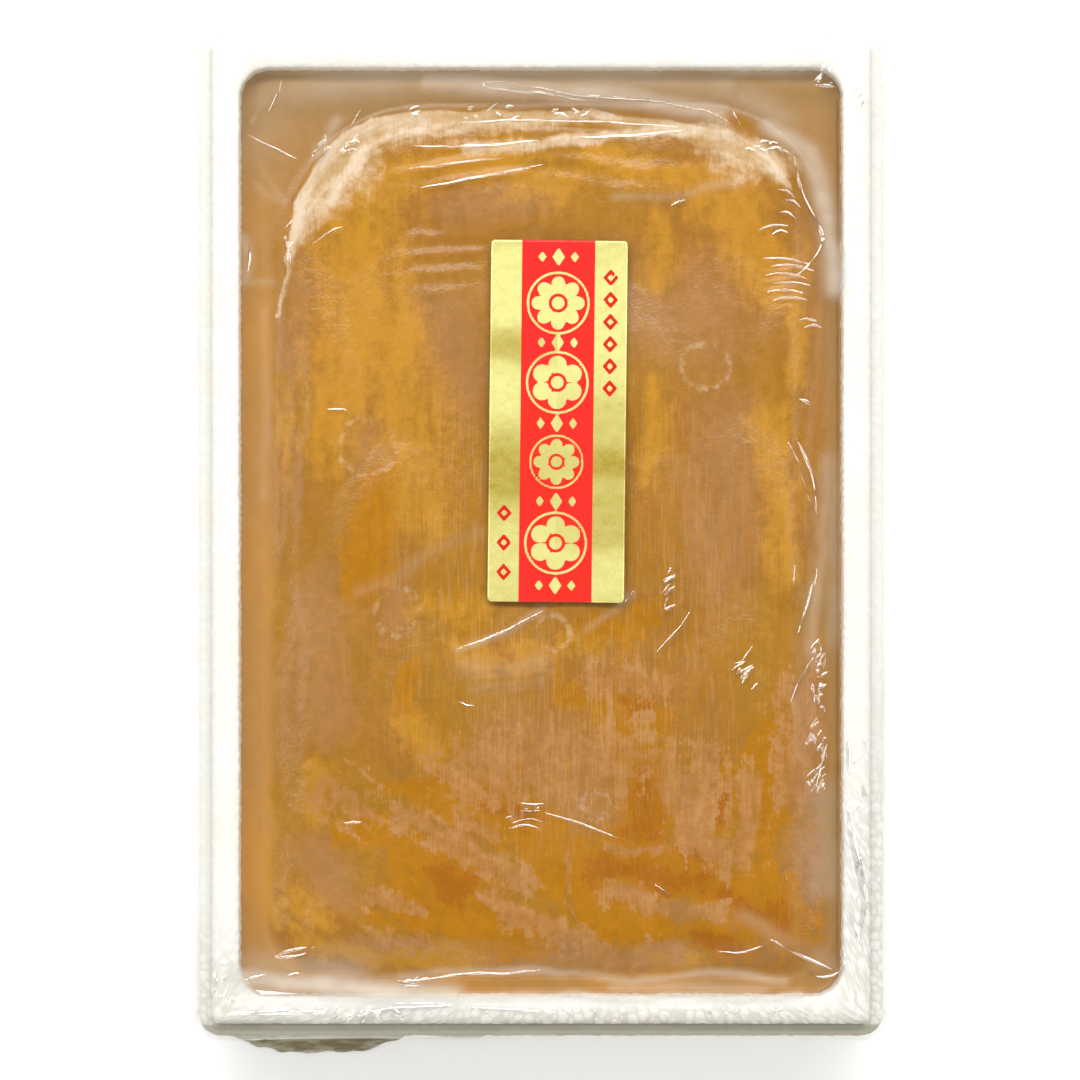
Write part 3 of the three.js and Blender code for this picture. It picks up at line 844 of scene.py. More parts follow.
# Milky places in the film, and painted glare and reflections on it: strength, half width and the points
# along each
MILK_AND_GLARE_LINES = [
    (0.34, 3, (-30, 121.5), (0, 120), (25, 118), (48, 113)),
    (0.13, 4, (-76, 117), (-50, 122), (0, 123), (50, 121)),
    (0.36, 2.8, (62, 110), (72, 103), (76, 94), (77.5, 85), (79, 74), (79.5, 66)),
    (0.12, 3.5, (56, 118), (66, 112)), (0.16, 1.4, (-79.5, 80), (-79.5, 68)),
    (0.1, 3, (79, 20), (79.5, -30)), (0.06, 1.5, (-74.5, 60), (-75, 10)),
    (0.16, 1.8, (77.3, 20), (77, 0), (74.5, -15), (73, -32)), (0.12, 4, (76, -70), (77, -95)),
    (0.62, 3, (-82, -120.6), (-66, -122.6), (-46, -124), (-24, -125.4)),
    (0.2, 5, (-78, -119), (-50, -121)),
    (0.4, 1.1, (-24, -125.4), (10, -125.6), (40, -125.6), (70, -125.4)),
    (0.2, 2, (20, -123), (60, -124)), (0.16, 2.5, (-78, 126), (0, 125.6), (78, 126)),
    (0.26, 1.2, (-38, -121), (-20, -119), (0, -118.6), (14, -119.6), (25, -122), (46, -118.6),
     (66, -121.6)),
    (0.2, 1.6, (-55.5, 111.4), (-61.2, 101.7)), (0.07, 6, (-72, 114), (-76, 104)),
    (0.1, 2.4, (54, -104), (66, -110.4), (78, -117)), (0.14, 1.6, (44, 112), (52, 108)),
    (0.12, 1.2, (20, 90.5), (37, 91.3), (54.4, 95.3)), (0.14, 1, (-75, 117), (-78, 111)),
    (0.08, 1, (-79, 107), (-75, 98), (-69, 90)), (0.08, 1, (-76.9, 93.9), (-70.8, 90.2)),
    (0.08, 1, (-81.7, 67.4), (-72.6, 67.3)),
    (0.07, 1.8, (-49.7, -16), (-38, -11.5), (-27, -4), (-17, 0.5)),
    (0.13, 1.1, (-22.8, -31.8), (-10.4, -27.4), (0.5, -21.6)), (0.1, 1.2, (24.5, -17), (12, -27)),
    (0.1, 3, (-20, -37), (0, -36)), (0.08, 2, (-18, -42), (0, -41)),
]


def fold_height(x, y):
    total = np.zeros_like(x)
    for start, end, height in FOLDS:
        total += height * np.exp(-((line_distance(x, y, [start, end]) / FOLD_HALF_WIDTH) ** 2))
    return total * (1 + 0.35 * layered_noise(flat_points(x, y), 12, 63))


def label_cover(x, y):
    """1 over the label and 0 a few millimetres outside it."""
    outside_x = np.abs(x - LABEL_X) - LABEL_WIDTH / 2
    outside_y = np.abs(y - LABEL_Y) - LABEL_LENGTH / 2
    return 1 - smooth(np.maximum(outside_x, outside_y) / 2)


def film_base(x, y):
    """Middle of the film without its small forms."""
    inward = np.maximum(0, CAVITY.depth(x, y))
    dip = FILM_SAG * (1 - np.exp(-inward / FILM_SAG_SPAN))
    return TRAY_HEIGHT + FILM_RISE - dip + fold_height(x, y) * clamp(inward / FILM_SAG_SPAN)


def film_height(x, y):
    flat = flat_points(x, y)
    inside = smooth(CAVITY.depth(x, y) / 2)
    crinkled = smooth(0.3 + 1.2 * layered_noise(flat, 17, 114))
    crinkles = FILM_CRINKLE * crinkled * layered_noise(flat, 1.8, 115, 2)
    detail = FILM_WAVE * layered_noise(flat, 26, 61) + crinkles
    for middle_x, middle_y in BLISTERS:
        distance = np.hypot(x - middle_x, y - middle_y)
        detail += BLISTER_HEIGHT * np.exp(-((distance / BLISTER_SIZE) ** 2))
    height = film_base(x, y) + detail * inside * (1 - FILM_FLAT_UNDER_LABEL * label_cover(x, y))
    clearance = FILM_CLEARANCE * (1 - 0.5 * label_cover(x, y))
    lowest = np.where(ROE.depth(x, y) > 0, slab_height(x, y) + clearance, 0)
    over_lip = LIP_WRINKLE * lip_wrinkles(x, y) * (1 - inside)
    return np.maximum(height, lowest) + over_lip + near_bulge(x, y) * (1 - inside)


def near_bulge(x, y):
    """The film's bulge along the near side of the lip, which fades out before the corners."""
    bulge = NEAR_BULGE * np.exp(-(((y - NEAR_BULGE_Y) / NEAR_BULGE_REACH) ** 2))
    bulge = bulge * falling(np.abs(x), LIP.right - NEAR_BULGE_END, NEAR_BULGE_FADE)
    return bulge * (1 + 0.5 * layered_noise(flat_points(x, y), (9, 4), 62))


def near_corners(x, y, outline, reach):
    """1 at the corners of a centred outline, fading to 0 at a reach from them."""
    return smooth(1 - np.hypot(np.abs(x) - outline.right, np.abs(y) - outline.far) / reach)


def lip_wrinkles(x, y):
    """Fine wrinkles across the lip, strongest round its corners, never below 0."""
    corner = near_corners(x, y, LIP, LIP_CORNER_REACH)
    wrinkled = 1 + layered_noise(flat_points(x, y), (4, 4), 81, 2)
    return (0.2 + 0.5 * corner) * wrinkled * smooth(LIP.depth(x, y) / 1.5)


def between_lines(first, last, count):
    """Evenly spaced lines from the first to the last, each a little bowed."""
    first, last = np.array(first, float), np.array(last, float)
    for k in range(count):
        line = first + (last - first) * k / (count - 1)
        slip = (0.9, 0.1) if k % 2 else (-0.7, 0)
        yield [line[0] + slip, line.mean(0) + slip + (0, 1.1 if k % 3 else 0.7), line[1] + slip]


def milk_and_glare_cover(x, y):
    """How milky the film is, with its painted glare and reflections."""
    flat = flat_points(x, y)
    x, y = wandering(x, y, 1.2, 9, (111, 121))
    most = np.zeros_like(x)
    for strength, half_width, *points in MILK_AND_GLARE_LINES:
        share = line_distance(x, y, points) / half_width
        most = np.maximum(most, strength * np.exp(-share * share))
    broken = 0.85 + 0.4 * layered_noise(flat, (14, 6), 113, 3)
    return most * broken * smooth(LIP.depth(x, y) / 5)


def all_creases():
    """Half width and points of each crease, with the ripples and the crinkled places."""
    for half_width, *points in CREASES:
        yield half_width, points
    for half_width, first, last, count in RIPPLES:
        for line in between_lines(first, last, count):
            yield half_width, line
    draw = drawer(CRINKLE_SEED)
    for middle_x, middle_y, half_x, half_y, direction, count in CRINKLES:
        for _ in range(count):
            turn = math.radians(direction + draw(-40, 40))
            middle = np.array([middle_x + half_x * draw(-1, 1), middle_y + half_y * draw(-1, 1)])
            half = np.array([math.cos(turn), math.sin(turn)]) * draw(0.6, 2.2)
            bow = np.array([-half[1], half[0]]) * draw(-0.3, 0.3)
            yield draw(0.3, 0.6), [middle - half, middle + bow, middle + half]


def bent_line(points, step):
    """Points about a step apart along a line whose corners are rounded off."""
    line = np.asarray(points, float)
    for _ in range(3):
        quarter = np.diff(line, axis=0) / 4
        cut = np.stack([line[:-1] + quarter, line[1:] - quarter], axis=1).reshape(-1, 2)
        line = np.concatenate([line[:1], cut, line[-1:]])
    along = np.concatenate([[0], np.cumsum(np.hypot(*np.diff(line, axis=0).T))])
    places = np.linspace(0, along[-1], max(7, round(along[-1] / step)))
    return np.stack([np.interp(places, along, column) for column in line.T], axis=-1)


def add_crease(surface, half_width, points):
    """A narrow ridge of film along a bent line, which runs out flat at both ends."""
    line = bent_line(points, CREASE_STEP)
    ahead = np.gradient(line, axis=0)
    aside = ahead[:, ::-1] * [1, -1] / np.hypot(*ahead.T)[:, None]
    line = line + aside * CREASE_WANDER * noise(line, 5, 151)[:, None]
    swell = np.sin(np.linspace(0, math.pi, len(line))) ** 0.7
    width = half_width * (CREASE_END + (1 - CREASE_END) * swell)
    steepness = CREASE_STEEP * (1 + CREASE_UNEVEN * noise(line, 3.5, 152))
    across = np.linspace(-1, 1, CREASE_CELLS + 1)
    rows = line[:, None] + aside[:, None] * (width[:, None] * across)[..., None]
    ridge = (width * steepness)[:, None] * np.cos(across * math.pi / 2) ** 2
    surface.sheet(rows, film_height(rows[..., 0], rows[..., 1]) + CREASE_LIFT + ridge, True)


# Foam tray

def bead_depth(points):
    """0 in the grooves between foam beads and rising towards the middle of each bead."""
    scaled = points / BEAD_SIZE
    cell = np.floor(scaled).astype(np.int64)
    nearest = np.full(len(points), np.inf)
    second = nearest
    for step in itertools.product((-1, 0, 1), repeat=3):
        place = cell + step
        jitter = np.stack([hashed(place, seed) for seed in (91, 92, 93)], axis=-1)
        distance = np.linalg.norm(scaled - place - jitter, axis=-1)
        second = np.minimum(second, np.maximum(nearest, distance))
        nearest = np.minimum(nearest, distance)
    return second - nearest


def add_profile(surface, stations, cells, size):
    """Adds rings along a profile of (outline, height) stations, about a size apart."""
    rings = [surface.add(stations[0][0].ring(cells), stations[0][1])]
    for (start, low), (end, high) in itertools.pairwise(stations):
        steps = max(1, round(math.hypot(end.left - start.left, high - low) / size))
        for step in range(1, steps + 1):
            share = step / steps
            ring = start.towards(end, share).ring(cells)
            rings.append(surface.add(ring, low + (high - low) * share))
    return rings


def side_at(height):
    """Outline of the tray's leaning side, without its rounded foot."""
    return LEDGE.inset(TRAY_TAPER * (LEDGE_HEIGHT - height) / LEDGE_HEIGHT)


def foot_at(angle, out):
    """The rounded foot, or a line parallel to it further out, at an angle down from level."""
    reach = FOOT_ROUND + out
    outline = side_at(FOOT_ROUND).inset(FOOT_ROUND - reach * math.cos(angle))
    return outline, FOOT_ROUND - reach * math.sin(angle)


def lip_height(share):
    """Height of the lip's top from its outer edge, at share 0, to the cavity, at 1."""
    fall = LIP_OUTER_FALL if share < 0.5 else LIP_INNER_FALL
    return TRAY_HEIGHT - fall * (2 * share - 1) ** 2


def groove_shade_share(x, y, z):
    """How strongly the painted shade in the grooves between the beads shows."""
    lit = falling(y, GROOVES_SLANT * np.maximum(x, 0) + GROOVES_FROM, GROOVES_FADE)
    glare = rising(y, GLARE_FROM, GLARE_FADE) * falling(np.abs(x), LIP.right - 6, 4)
    on_side = GROOVES_ON_SIDE + (1 - GROOVES_ON_SIDE) * rising(z, LEDGE_HEIGHT - 6, 4)
    return (GROOVES_LEAST + (1 - GROOVES_LEAST) * lit) * (1 - GLARE_STRENGTH * glare) * on_side


def ledge_shade_share(y, z):
    """How much painted shade darkens the foam on the near ledge and the near edge of the lip."""
    raised = rising(z, LEDGE_HEIGHT - 4, 3)
    ledge = falling(y, LIP.near - LEDGE_SHADE_MARGIN, 0.5) * (LIP_SHADE_SHARE + (1 - LIP_SHADE_SHARE) * raised)
    return clamp(ledge + LIP_SHADE_SHARE * falling(y, LIP_SHADE_FROM, 2.5) * raised)


def make_tray():
    fine_cells = cells_for(LEDGE, TRAY_CELL)
    side_cells = halved(fine_cells)
    under_cells = halved(side_cells)
    surface = Surface()
    foot = [foot_at(angle, 0) for angle in np.radians(FOOT_ANGLES)]
    under_edge = foot_at(math.radians(UNDER_ANGLE), 0)[0]
    rows = fill(under_edge.ring(under_cells), under_cells)
    under = surface.sheet(rows, UNDERSIDE, False)
    side = [surface.add(under_edge.inset(-0.5).ring(side_cells), UNDERSIDE)]
    side_stations = [*foot, (side_at(COARSE_SIDE_TOP), COARSE_SIDE_TOP)]
    side += add_profile(surface, side_stations, side_cells, SIDE_RING)
    bevel_low = LEDGE_HEIGHT - EDGE_BEVEL
    rim_inset, rim_low = FINE_WALL_END
    wall_inset, wall_top = COARSE_WALL_START
    top_stations = [
        (side_at(FINE_SIDE_START), FINE_SIDE_START),
        (side_at(bevel_low), bevel_low),
        (LEDGE.inset(EDGE_BEVEL), LEDGE_HEIGHT),
        (LIP, LEDGE_HEIGHT),
        (LIP, lip_height(0) - LIP_ROUND),
        *[(LIP.towards(CAVITY, share), lip_height(share)) for share in LIP_SHARES],
        (CAVITY, lip_height(1) - LIP_ROUND),
        (CAVITY.inset(rim_inset), rim_low),
    ]
    top = add_profile(surface, top_stations, fine_cells, TRAY_RING)
    wall_stations = [(CAVITY.inset(wall_inset), wall_top), (CAVITY.inset(CAVITY_TAPER), FLOOR_THICKNESS)]
    wall = add_profile(surface, wall_stations, side_cells, WALL_RING)
    surface.join_in_order([under, *side, *top, *wall])
    surface.cap(wall[-1], (0, 0, FLOOR_THICKNESS), True)
    points = surface.points()
    depth = bead_depth(points)
    beads = BEAD_RELIEF * (clamp(depth / BEAD_GROOVE) - BEAD_LEVEL)
    relief = beads + FOAM_WAVE * layered_noise(points, 14, 95)
    x, y, z = points.T
    values = {"bead": depth, "groove_shade": groove_shade_share(x, y, z), "ledge_shade": ledge_shade_share(y, z)}
    make_piece("foam_tray", surface, foam_material(), ["tray"], relief, values)


def make_roe():
    surface = Surface()
    bottom = FLOOR_THICKNESS + GAP
    cells = cells_for(ROE, ROE_CELL)
    rings = [
        surface.add(ROE.inset(ROE_TAPER).ring(cells), bottom),
        surface.add(ROE.ring(cells), SAUCE_LEVEL),
    ]
    rings += [surface.add(ROE.inset(inward).ring(cells), roe_height) for inward in ROE_EDGE_INSETS]
    rings.append(surface.sheet(fill(ROE.inset(ROE_TOP_INSET).ring(cells), cells), roe_height, True))
    surface.join_in_order(rings)
    surface.cap(rings[0], (0, 0, bottom), False)
    x, y, _ = surface.points().T
    margin_depth = ROE.depth(x, y) + 1.5 * layered_noise(flat_points(x, y), 9, 37)
    values = {
        "gold": stroke_field(x, y, GOLD_STROKES, 4, 21),
        "clear": stroke_field(x, y, CLEAR_STROKES, 4, 23),
        "deep": stroke_field(x, y, DEEP_STROKES, 4, 23),
        "frost": frost_field(x, y),
        "ice": stroke_field(x, y, ICE_STROKES, 4, 33),
        "streaks": streak_field(x, y),
        "margin": smooth(1 - margin_depth / MARGIN_WIDTH),
        "pale": stroke_field(x, y, PALE_STROKES, 4, 24),
        "ring": ring_field(x, y),
        "scraped": scraped(x, y),
    }
    make_piece("roe_slab", surface, roe_material(), ["roe"], None, values)


def scraped(x, y):
    """1 in the part with fine scratches, fading to 0 outside it."""
    across = (x - SCRAPED_MIDDLE[0]) / SCRAPED_REACH[0]
    along = (y - SCRAPED_MIDDLE[1]) / SCRAPED_REACH[1]
    return smooth(1.5 - np.hypot(across, along) * 1.2)


def make_sauce():
    """Sauce round the slab. It reaches just into the slab and the foam, so that no gap shows."""
    surface = Surface()
    cells = cells_for(ROE, SAUCE_CELL)
    bottom = FLOOR_THICKNESS + GAP
    outer = CAVITY.inset(SAUCE_FROM_FOAM)
    inner = ROE.inset(SAUCE_IN_SLAB)
    hidden, depth = SAUCE_HIDDEN_EDGE

    def ripple(x, y):
        return SAUCE_LEVEL + SAUCE_RIPPLE * layered_noise(flat_points(x, y), 14, 45)

    top = [surface.add(ROE.inset(hidden).ring(cells), SAUCE_LEVEL - depth)]
    for share in SAUCE_SHARES:
        top.append(surface.add(inner.towards(outer, share).ring(cells), ripple))
    for inward, rise in SAUCE_CREEP:
        top.append(surface.add(outer.inset(inward).ring(cells), SAUCE_LEVEL + rise))
    low_outer = surface.add(CAVITY.inset(CAVITY_TAPER).ring(cells), bottom)
    low_inner = surface.add(ROE.inset(SAUCE_UNDER_SLAB).ring(cells), bottom)
    surface.join_in_order([low_inner, low_outer, *reversed(top), low_inner])
    make_piece("sauce_layer", surface, sauce_material(), ["sauce"])


def skirt_push(points):
    """How far the film stands off the tray's side: pleats down the side, most of them at the corners."""
    x, y, z = points.T
    corner = near_corners(x, y, LEDGE, SKIRT_CORNER_REACH)
    pleats = (PLEAT_PUSH[0] + PLEAT_PUSH[1] * corner) * (1 + layered_noise(points, (5, 5, 60), 101, 3))
    slack = SLACK_PUSH * (1 + noise(points, (22, 22, 30), 104))
    on_end = np.abs(y) > LEDGE.far - END_REACH
    flap_edge = FLAP_HALF_WIDTH + (LEDGE_HEIGHT - z) * FLAP_SLANT
    flap = FLAP_PUSH * rising(np.abs(x), flap_edge, 1.5) * on_end
    fade = falling(z, LEDGE_HEIGHT + 1, 4) * rising(z, 0.3, 4)
    shoulder = falling(z, TRAY_HEIGHT, 2) * rising(z, LEDGE_HEIGHT - 3, 3) * corner
    wrinkles = 1 + layered_noise(points, (2.6, 2.6, 9), 106, 2)
    return fade * (pleats + slack + flap) + SHOULDER_PUSH * shoulder * wrinkles


def make_film():
    """The film over the top, and its skirt down the sides and under the tray."""
    top_edge = LIP.inset(-FILM_SKIRT_OUT / 2)
    cells = cells_for(top_edge, FILM_CELL)
    surface = Surface()
    surface.sheet(fill(top_edge.ring(cells), cells), film_height, True)
    x, y, _ = surface.points().T
    material = film_material("film", FILM_GLOSS)
    make_piece("film_top", surface, material, ["film"], None, {"milk_and_glare": milk_and_glare_cover(x, y)})

    surface = Surface()
    for half_width, points in all_creases():
        add_crease(surface, half_width, points)
    make_piece("film_creases", surface, film_material("film_creases", CREASE_GLOSS))

    surface = Surface()
    out = FILM_SKIRT_OUT
    stations = [
        (top_edge, TRAY_HEIGHT + FILM_RISE),
        (LEDGE.inset(-out), LEDGE_HEIGHT + out / 2),
        (side_at(FOOT_ROUND).inset(-out), FOOT_ROUND),
        *[foot_at(math.radians(angle), out) for angle in FILM_FOOT_ANGLES],
        (side_at(FOOT_ROUND).inset(FOOT_ROUND), FILM_FOOT),
    ]
    rings = add_profile(surface, stations, cells, SKIRT_RING)
    half = halved(cells)
    under = side_at(FOOT_ROUND)
    for inward in SKIRT_RINGS:
        rings.append(surface.add(shrunk_ring(under, inward, half), FILM_FOOT))
    rings.reverse()
    surface.join_in_order(rings)
    surface.cap(rings[0], (0, 0, FILM_FOOT), False)
    points = surface.points()
    values = {"milk_and_glare": SKIRT_VEIL * smooth(layered_noise(points, 16, 112))}
    skirt = film_material("film_skirt", FILM_GLOSS, SKIRT_TINT)
    make_piece("film_skirt", surface, skirt, ["film"], skirt_push(points), values)


def shrunk_ring(outline, inward, cells):
    """A ring nearer the middle under the tray, which keeps the outline's corners in proportion."""
    share = 1 - inward / (outline.right - outline.left) * 2
    scale = np.array([share, 1 - inward / (outline.far - outline.near) * 2])
    return outline.ring(cells) * scale


def make_film_tail(name, left, right, reach, seed):
    """A crumpled end of the film that sticks out from under the near side, folded double."""
    across, along = TAIL_CELLS
    u, v = np.meshgrid(np.linspace(0, 1, across + 1), np.linspace(0, 1, along + 1))
    shape = np.sqrt(np.sin(math.pi * u) ** 0.9 + 0.02)
    edge = flat_points(u * (right - left), np.zeros_like(u))
    ragged = 1 + TAIL_RAGGED * layered_noise(edge, 6, seed)
    inner = side_at(0).near + TAIL_TUCK
    y = inner - (TAIL_TUCK + reach * shape * ragged) * (1 - v)
    rows = flat_points(left + u * (right - left), y)

    def over(px, py):
        crumple = layered_noise(flat_points(px, py), (11, 1.8), seed + 1, 3)
        return TAIL_LOW + TAIL_GAP + tail_rise(py, inner) + TAIL_CRUMPLE * (1 + crumple)

    def under(_, py):
        return TAIL_LOW + 0.6 * tail_rise(py, inner)

    surface = Surface()
    surface.plate(rows, under, over)
    make_piece(name, surface, tail_material())


def tail_rise(y, inner):
    """The tail lies flat where it is tucked under the tray and rises a little outside it."""
    return TAIL_RISE * falling(y, inner - TAIL_TUCK + 1, 4)


# Label

def rosette(across, along, middle, radius, petals):
    """How far points lie inside a flower's gold parts, negative outside them."""
    dx, dy = across, along - middle
    distance, angle = np.hypot(dx, dy), np.arctan2(dx, dy)
    wave = np.abs(np.cos(petals / 2 * angle))
    outline = radius * (0.6 + 0.4 * np.sqrt(wave)) - distance
    gap = radius * wave * 0.9 - 0.25
    petal = np.minimum(np.minimum(outline, distance - 0.36 * radius), gap)
    ring = 0.045 * radius - np.abs(distance - 1.14 * radius)
    return np.maximum(np.maximum(petal, 0.24 * radius - distance), ring)


def lozenge(across, along, middle_across, middle_along, half_across, half_along):
    share = np.abs(across - middle_across) / half_across + np.abs(along - middle_along) / half_along
    return (1 - share) * min(half_across, half_along)


def gold_on_red(across, along):
    inside = np.full(across.shape, -9.0)
    for middle, radius, petals in BAND_FLOWERS:
        inside = np.maximum(inside, rosette(across - BAND_MIDDLE, along, middle, radius, petals))
    for middle in BAND_LOZENGES:
        inside = np.maximum(inside, lozenge(across, along, BAND_MIDDLE, middle, 1.7, 2.6))
        for side in (-1, 1):
            small = lozenge(across, along, BAND_MIDDLE + side * 4.4, middle, 1.1, 1.6)
            inside = np.maximum(inside, small)
    return inside


def red_on_gold(across, along):
    inside = np.full(across.shape, -9.0)
    for middle_across, first, last, count in STRIP_LOZENGES:
        for middle in np.linspace(first, last, count):
            outer = lozenge(across, along, middle_across, middle, 2.1, 2.4)
            hole = lozenge(across, along, middle_across, middle, 0.9, 1.0)
            inside = np.maximum(inside, np.minimum(outer, -hole))
    return inside


def painted_foil_shine(across, along):
    """Painted reflections on the foil: from 0 where it looks dark to 1 where it shines."""
    flat = flat_points(across, along)
    along = along + 1.5 * layered_noise(flat, (9, 5), 121)
    foil_shine = np.full(across.shape, 0.55)
    for side, middle, half, value in PAINTED_FOIL_SHINE_BANDS:
        weight = np.exp(-(((along - middle) / half) ** 4)) * (side * (across - BAND_MIDDLE) > 0)
        foil_shine = foil_shine + (value - foil_shine) * weight
    return clamp(foil_shine + 0.16 * layered_noise(flat, (2.2, 1.6), 122))


def make_label():
    plate = centred(LABEL_WIDTH, LABEL_LENGTH, LABEL_CORNER)
    cells = cells_for(plate, LABEL_CELL)
    rows = fill(plate.ring(cells), cells)
    turn, lean = math.cos(LABEL_TURN), math.sin(LABEL_TURN)
    x = LABEL_X + rows[..., 0] * turn - rows[..., 1] * lean
    y = LABEL_Y + rows[..., 0] * lean + rows[..., 1] * turn

    def under(px, py):
        return film_height(px, py) + LABEL_LIFT

    def over(px, py):
        return under(px, py) + LABEL_THICKNESS

    surface = Surface()
    surface.plate(flat_points(x, y), under, over)
    across = np.tile(rows[..., 0].ravel(), 2)
    along = np.tile(rows[..., 1].ravel(), 2)
    values = {
        "band": BAND_HALF_WIDTH - np.abs(across - BAND_MIDDLE),
        "gilt": gold_on_red(across, along),
        "ink": red_on_gold(across, along),
        "foil_shine": painted_foil_shine(across, along),
    }
    make_piece("label_sticker", surface, label_material(), ["label"], None, values)


# Materials

def shade(red, green, blue):
    """A colour given by its display values from 0 to 255."""
    display = np.array([red, green, blue]) / 255
    linear = np.where(display <= 0.04045, display / 12.92, ((display + 0.055) / 1.055) ** 2.4)
    return (*linear.tolist(), 1)


ROE_BEIGE = shade(186, 131, 34)
ROE_PINK = shade(184, 126, 46)
ROE_PALE = shade(188, 135, 78)
ROE_GOLD = shade(223, 160, 46)
ROE_CLEAR = shade(197, 130, 0)
ROE_DEEP = shade(174, 94, 4)
ROE_ICE = shade(196, 138, 78)
ROE_SCRATCH = shade(206, 158, 98)
# pale frost on the slab, also painted light along the sauce at the far lip
FROST_THIN_AND_LIP_LIGHT = shade(208, 172, 122)
FROST_THICK = shade(244, 228, 206)
SAUCE_BROWN = shade(186, 136, 72)
SAUCE_GOLDEN = shade(197, 140, 64)
# greyer sauce, also used as painted shade towards the far lip
SAUCE_GREY = shade(156, 124, 82)
# milky white of the film, also used for painted glare and reflections
FILM_MILK_AND_GLARE = shade(246, 240, 228)
# dark olive of the tail: sauce in the crumpled film, and painted shadow of the tray over it
TAIL_DARK = shade(142, 131, 92)
TAIL_LIGHT = shade(212, 207, 192)
LABEL_RED = shade(250, 48, 44)
LABEL_DARK_RED = shade(232, 50, 38)
LABEL_INK = shade(214, 44, 30)
FOIL_LIGHT = shade(255, 250, 162)
FOIL_DARK = shade(190, 164, 58)


class Nodes:
    """The nodes of a material or world. Each call adds a node and gives back its output."""

    def __init__(self, made):
        made.use_nodes = True
        self.made = made
        self.tree = made.node_tree
        self.tree.nodes.clear()

    def node(self, kind, inputs, output=0, **settings):
        made = self.tree.nodes.new("ShaderNode" + kind)
        for key, value in settings.items():
            setattr(made, key, value)
        for key, value in inputs.items():
            if isinstance(value, bpy.types.NodeSocket):
                self.tree.links.new(value, made.inputs[key])
            else:
                made.inputs[key].default_value = value
        return made.outputs[output]

    def attribute(self, name):
        return self.node("Attribute", {}, "Fac", attribute_name=name)

    def math(self, operation, a, b):
        return self.node("Math", {0: a, 1: b}, operation=operation)

    def times(self, a, b):
        return self.math("MULTIPLY", a, b)

    def mix(self, share, a, b):
        return self.node("Mix", {0: share, 6: a, 7: b}, 2, data_type="RGBA")

    def between(self, share, a, b):
        return self.node("Mix", {0: share, 2: a, 3: b})

    def step(self, value, low, high, lowest=0.0, highest=1.0):
        """Rises smoothly from the lowest to the highest while the value goes from low to high."""
        inputs = {0: value, 1: low, 2: high, 3: lowest, 4: highest}
        return self.node("MapRange", inputs, interpolation_type="SMOOTHSTEP")

    def place(self, size):
        """Coordinates in which lumps of these sizes, in millimetres, are one long."""
        where = self.node("TexCoord", {}, "Object")
        scale = [1 / (length * MM) for length in size]
        return self.node("Mapping", {"Vector": where, "Scale": scale})

    def noise(self, size, detail, rough=0.5):
        inputs = {"Vector": self.place(size), "Scale": 1.0, "Detail": detail, "Roughness": rough}
        return self.node("TexNoise", inputs)

    def bump(self, height, depth, strength):
        return self.node("Bump", {"Height": height, "Distance": depth * MM, "Strength": strength})

    def reflection(self, normal, straight):
        """Share of light that a thin sheet reflects, the same from both faces: more at a low angle."""
        facing = self.node("LayerWeight", {"Blend": 0.5, "Normal": normal}, "Facing")
        grazing = self.math("POWER", facing, 5.0)
        return self.node("MapRange", {0: grazing, 3: straight, 4: 1.0})

    def principled(self, inputs):
        """Ends a material with one principled shader."""
        return self.finish(self.node("BsdfPrincipled", inputs))

    def finish(self, shader):
        kind = "World" if isinstance(self.made, bpy.types.World) else "Material"
        output = self.tree.nodes.new("ShaderNodeOutput" + kind)
        self.tree.links.new(shader, output.inputs["Surface"])
        return self.made


def new_material(name):
    return Nodes(bpy.data.materials.new(name))


def foam_material():
    m = new_material("foam")
    # painted shade in the grooves between the beads
    groove_shade_mask = m.times(m.step(m.attribute("bead"), 0.34, 0.05), m.attribute("groove_shade"))
    grain = m.noise((0.5, 0.5, 0.5), 0)
    dirt = m.noise((18, 18, 18), 1)
    colour = m.mix(m.step(dirt, 0.3, 0.7), FOAM_WHITE, FOAM_WARM)
    colour = m.mix(m.times(groove_shade_mask, 0.4), colour, FOAM_GROOVE_SHADE)
    # painted shade on the near ledge and the near edge of the lip
    colour = m.mix(m.times(m.attribute("ledge_shade"), 0.95), colour, FOAM_LEDGE_SHADE)
    return m.principled(
        {
            "Base Color": colour,
            "Roughness": m.step(groove_shade_mask, 0.2, 1.0, 0.55, 0.85),
            "Specular IOR Level": 0.4,
            "Normal": m.bump(grain, 0.08, 0.6),
        }
    )


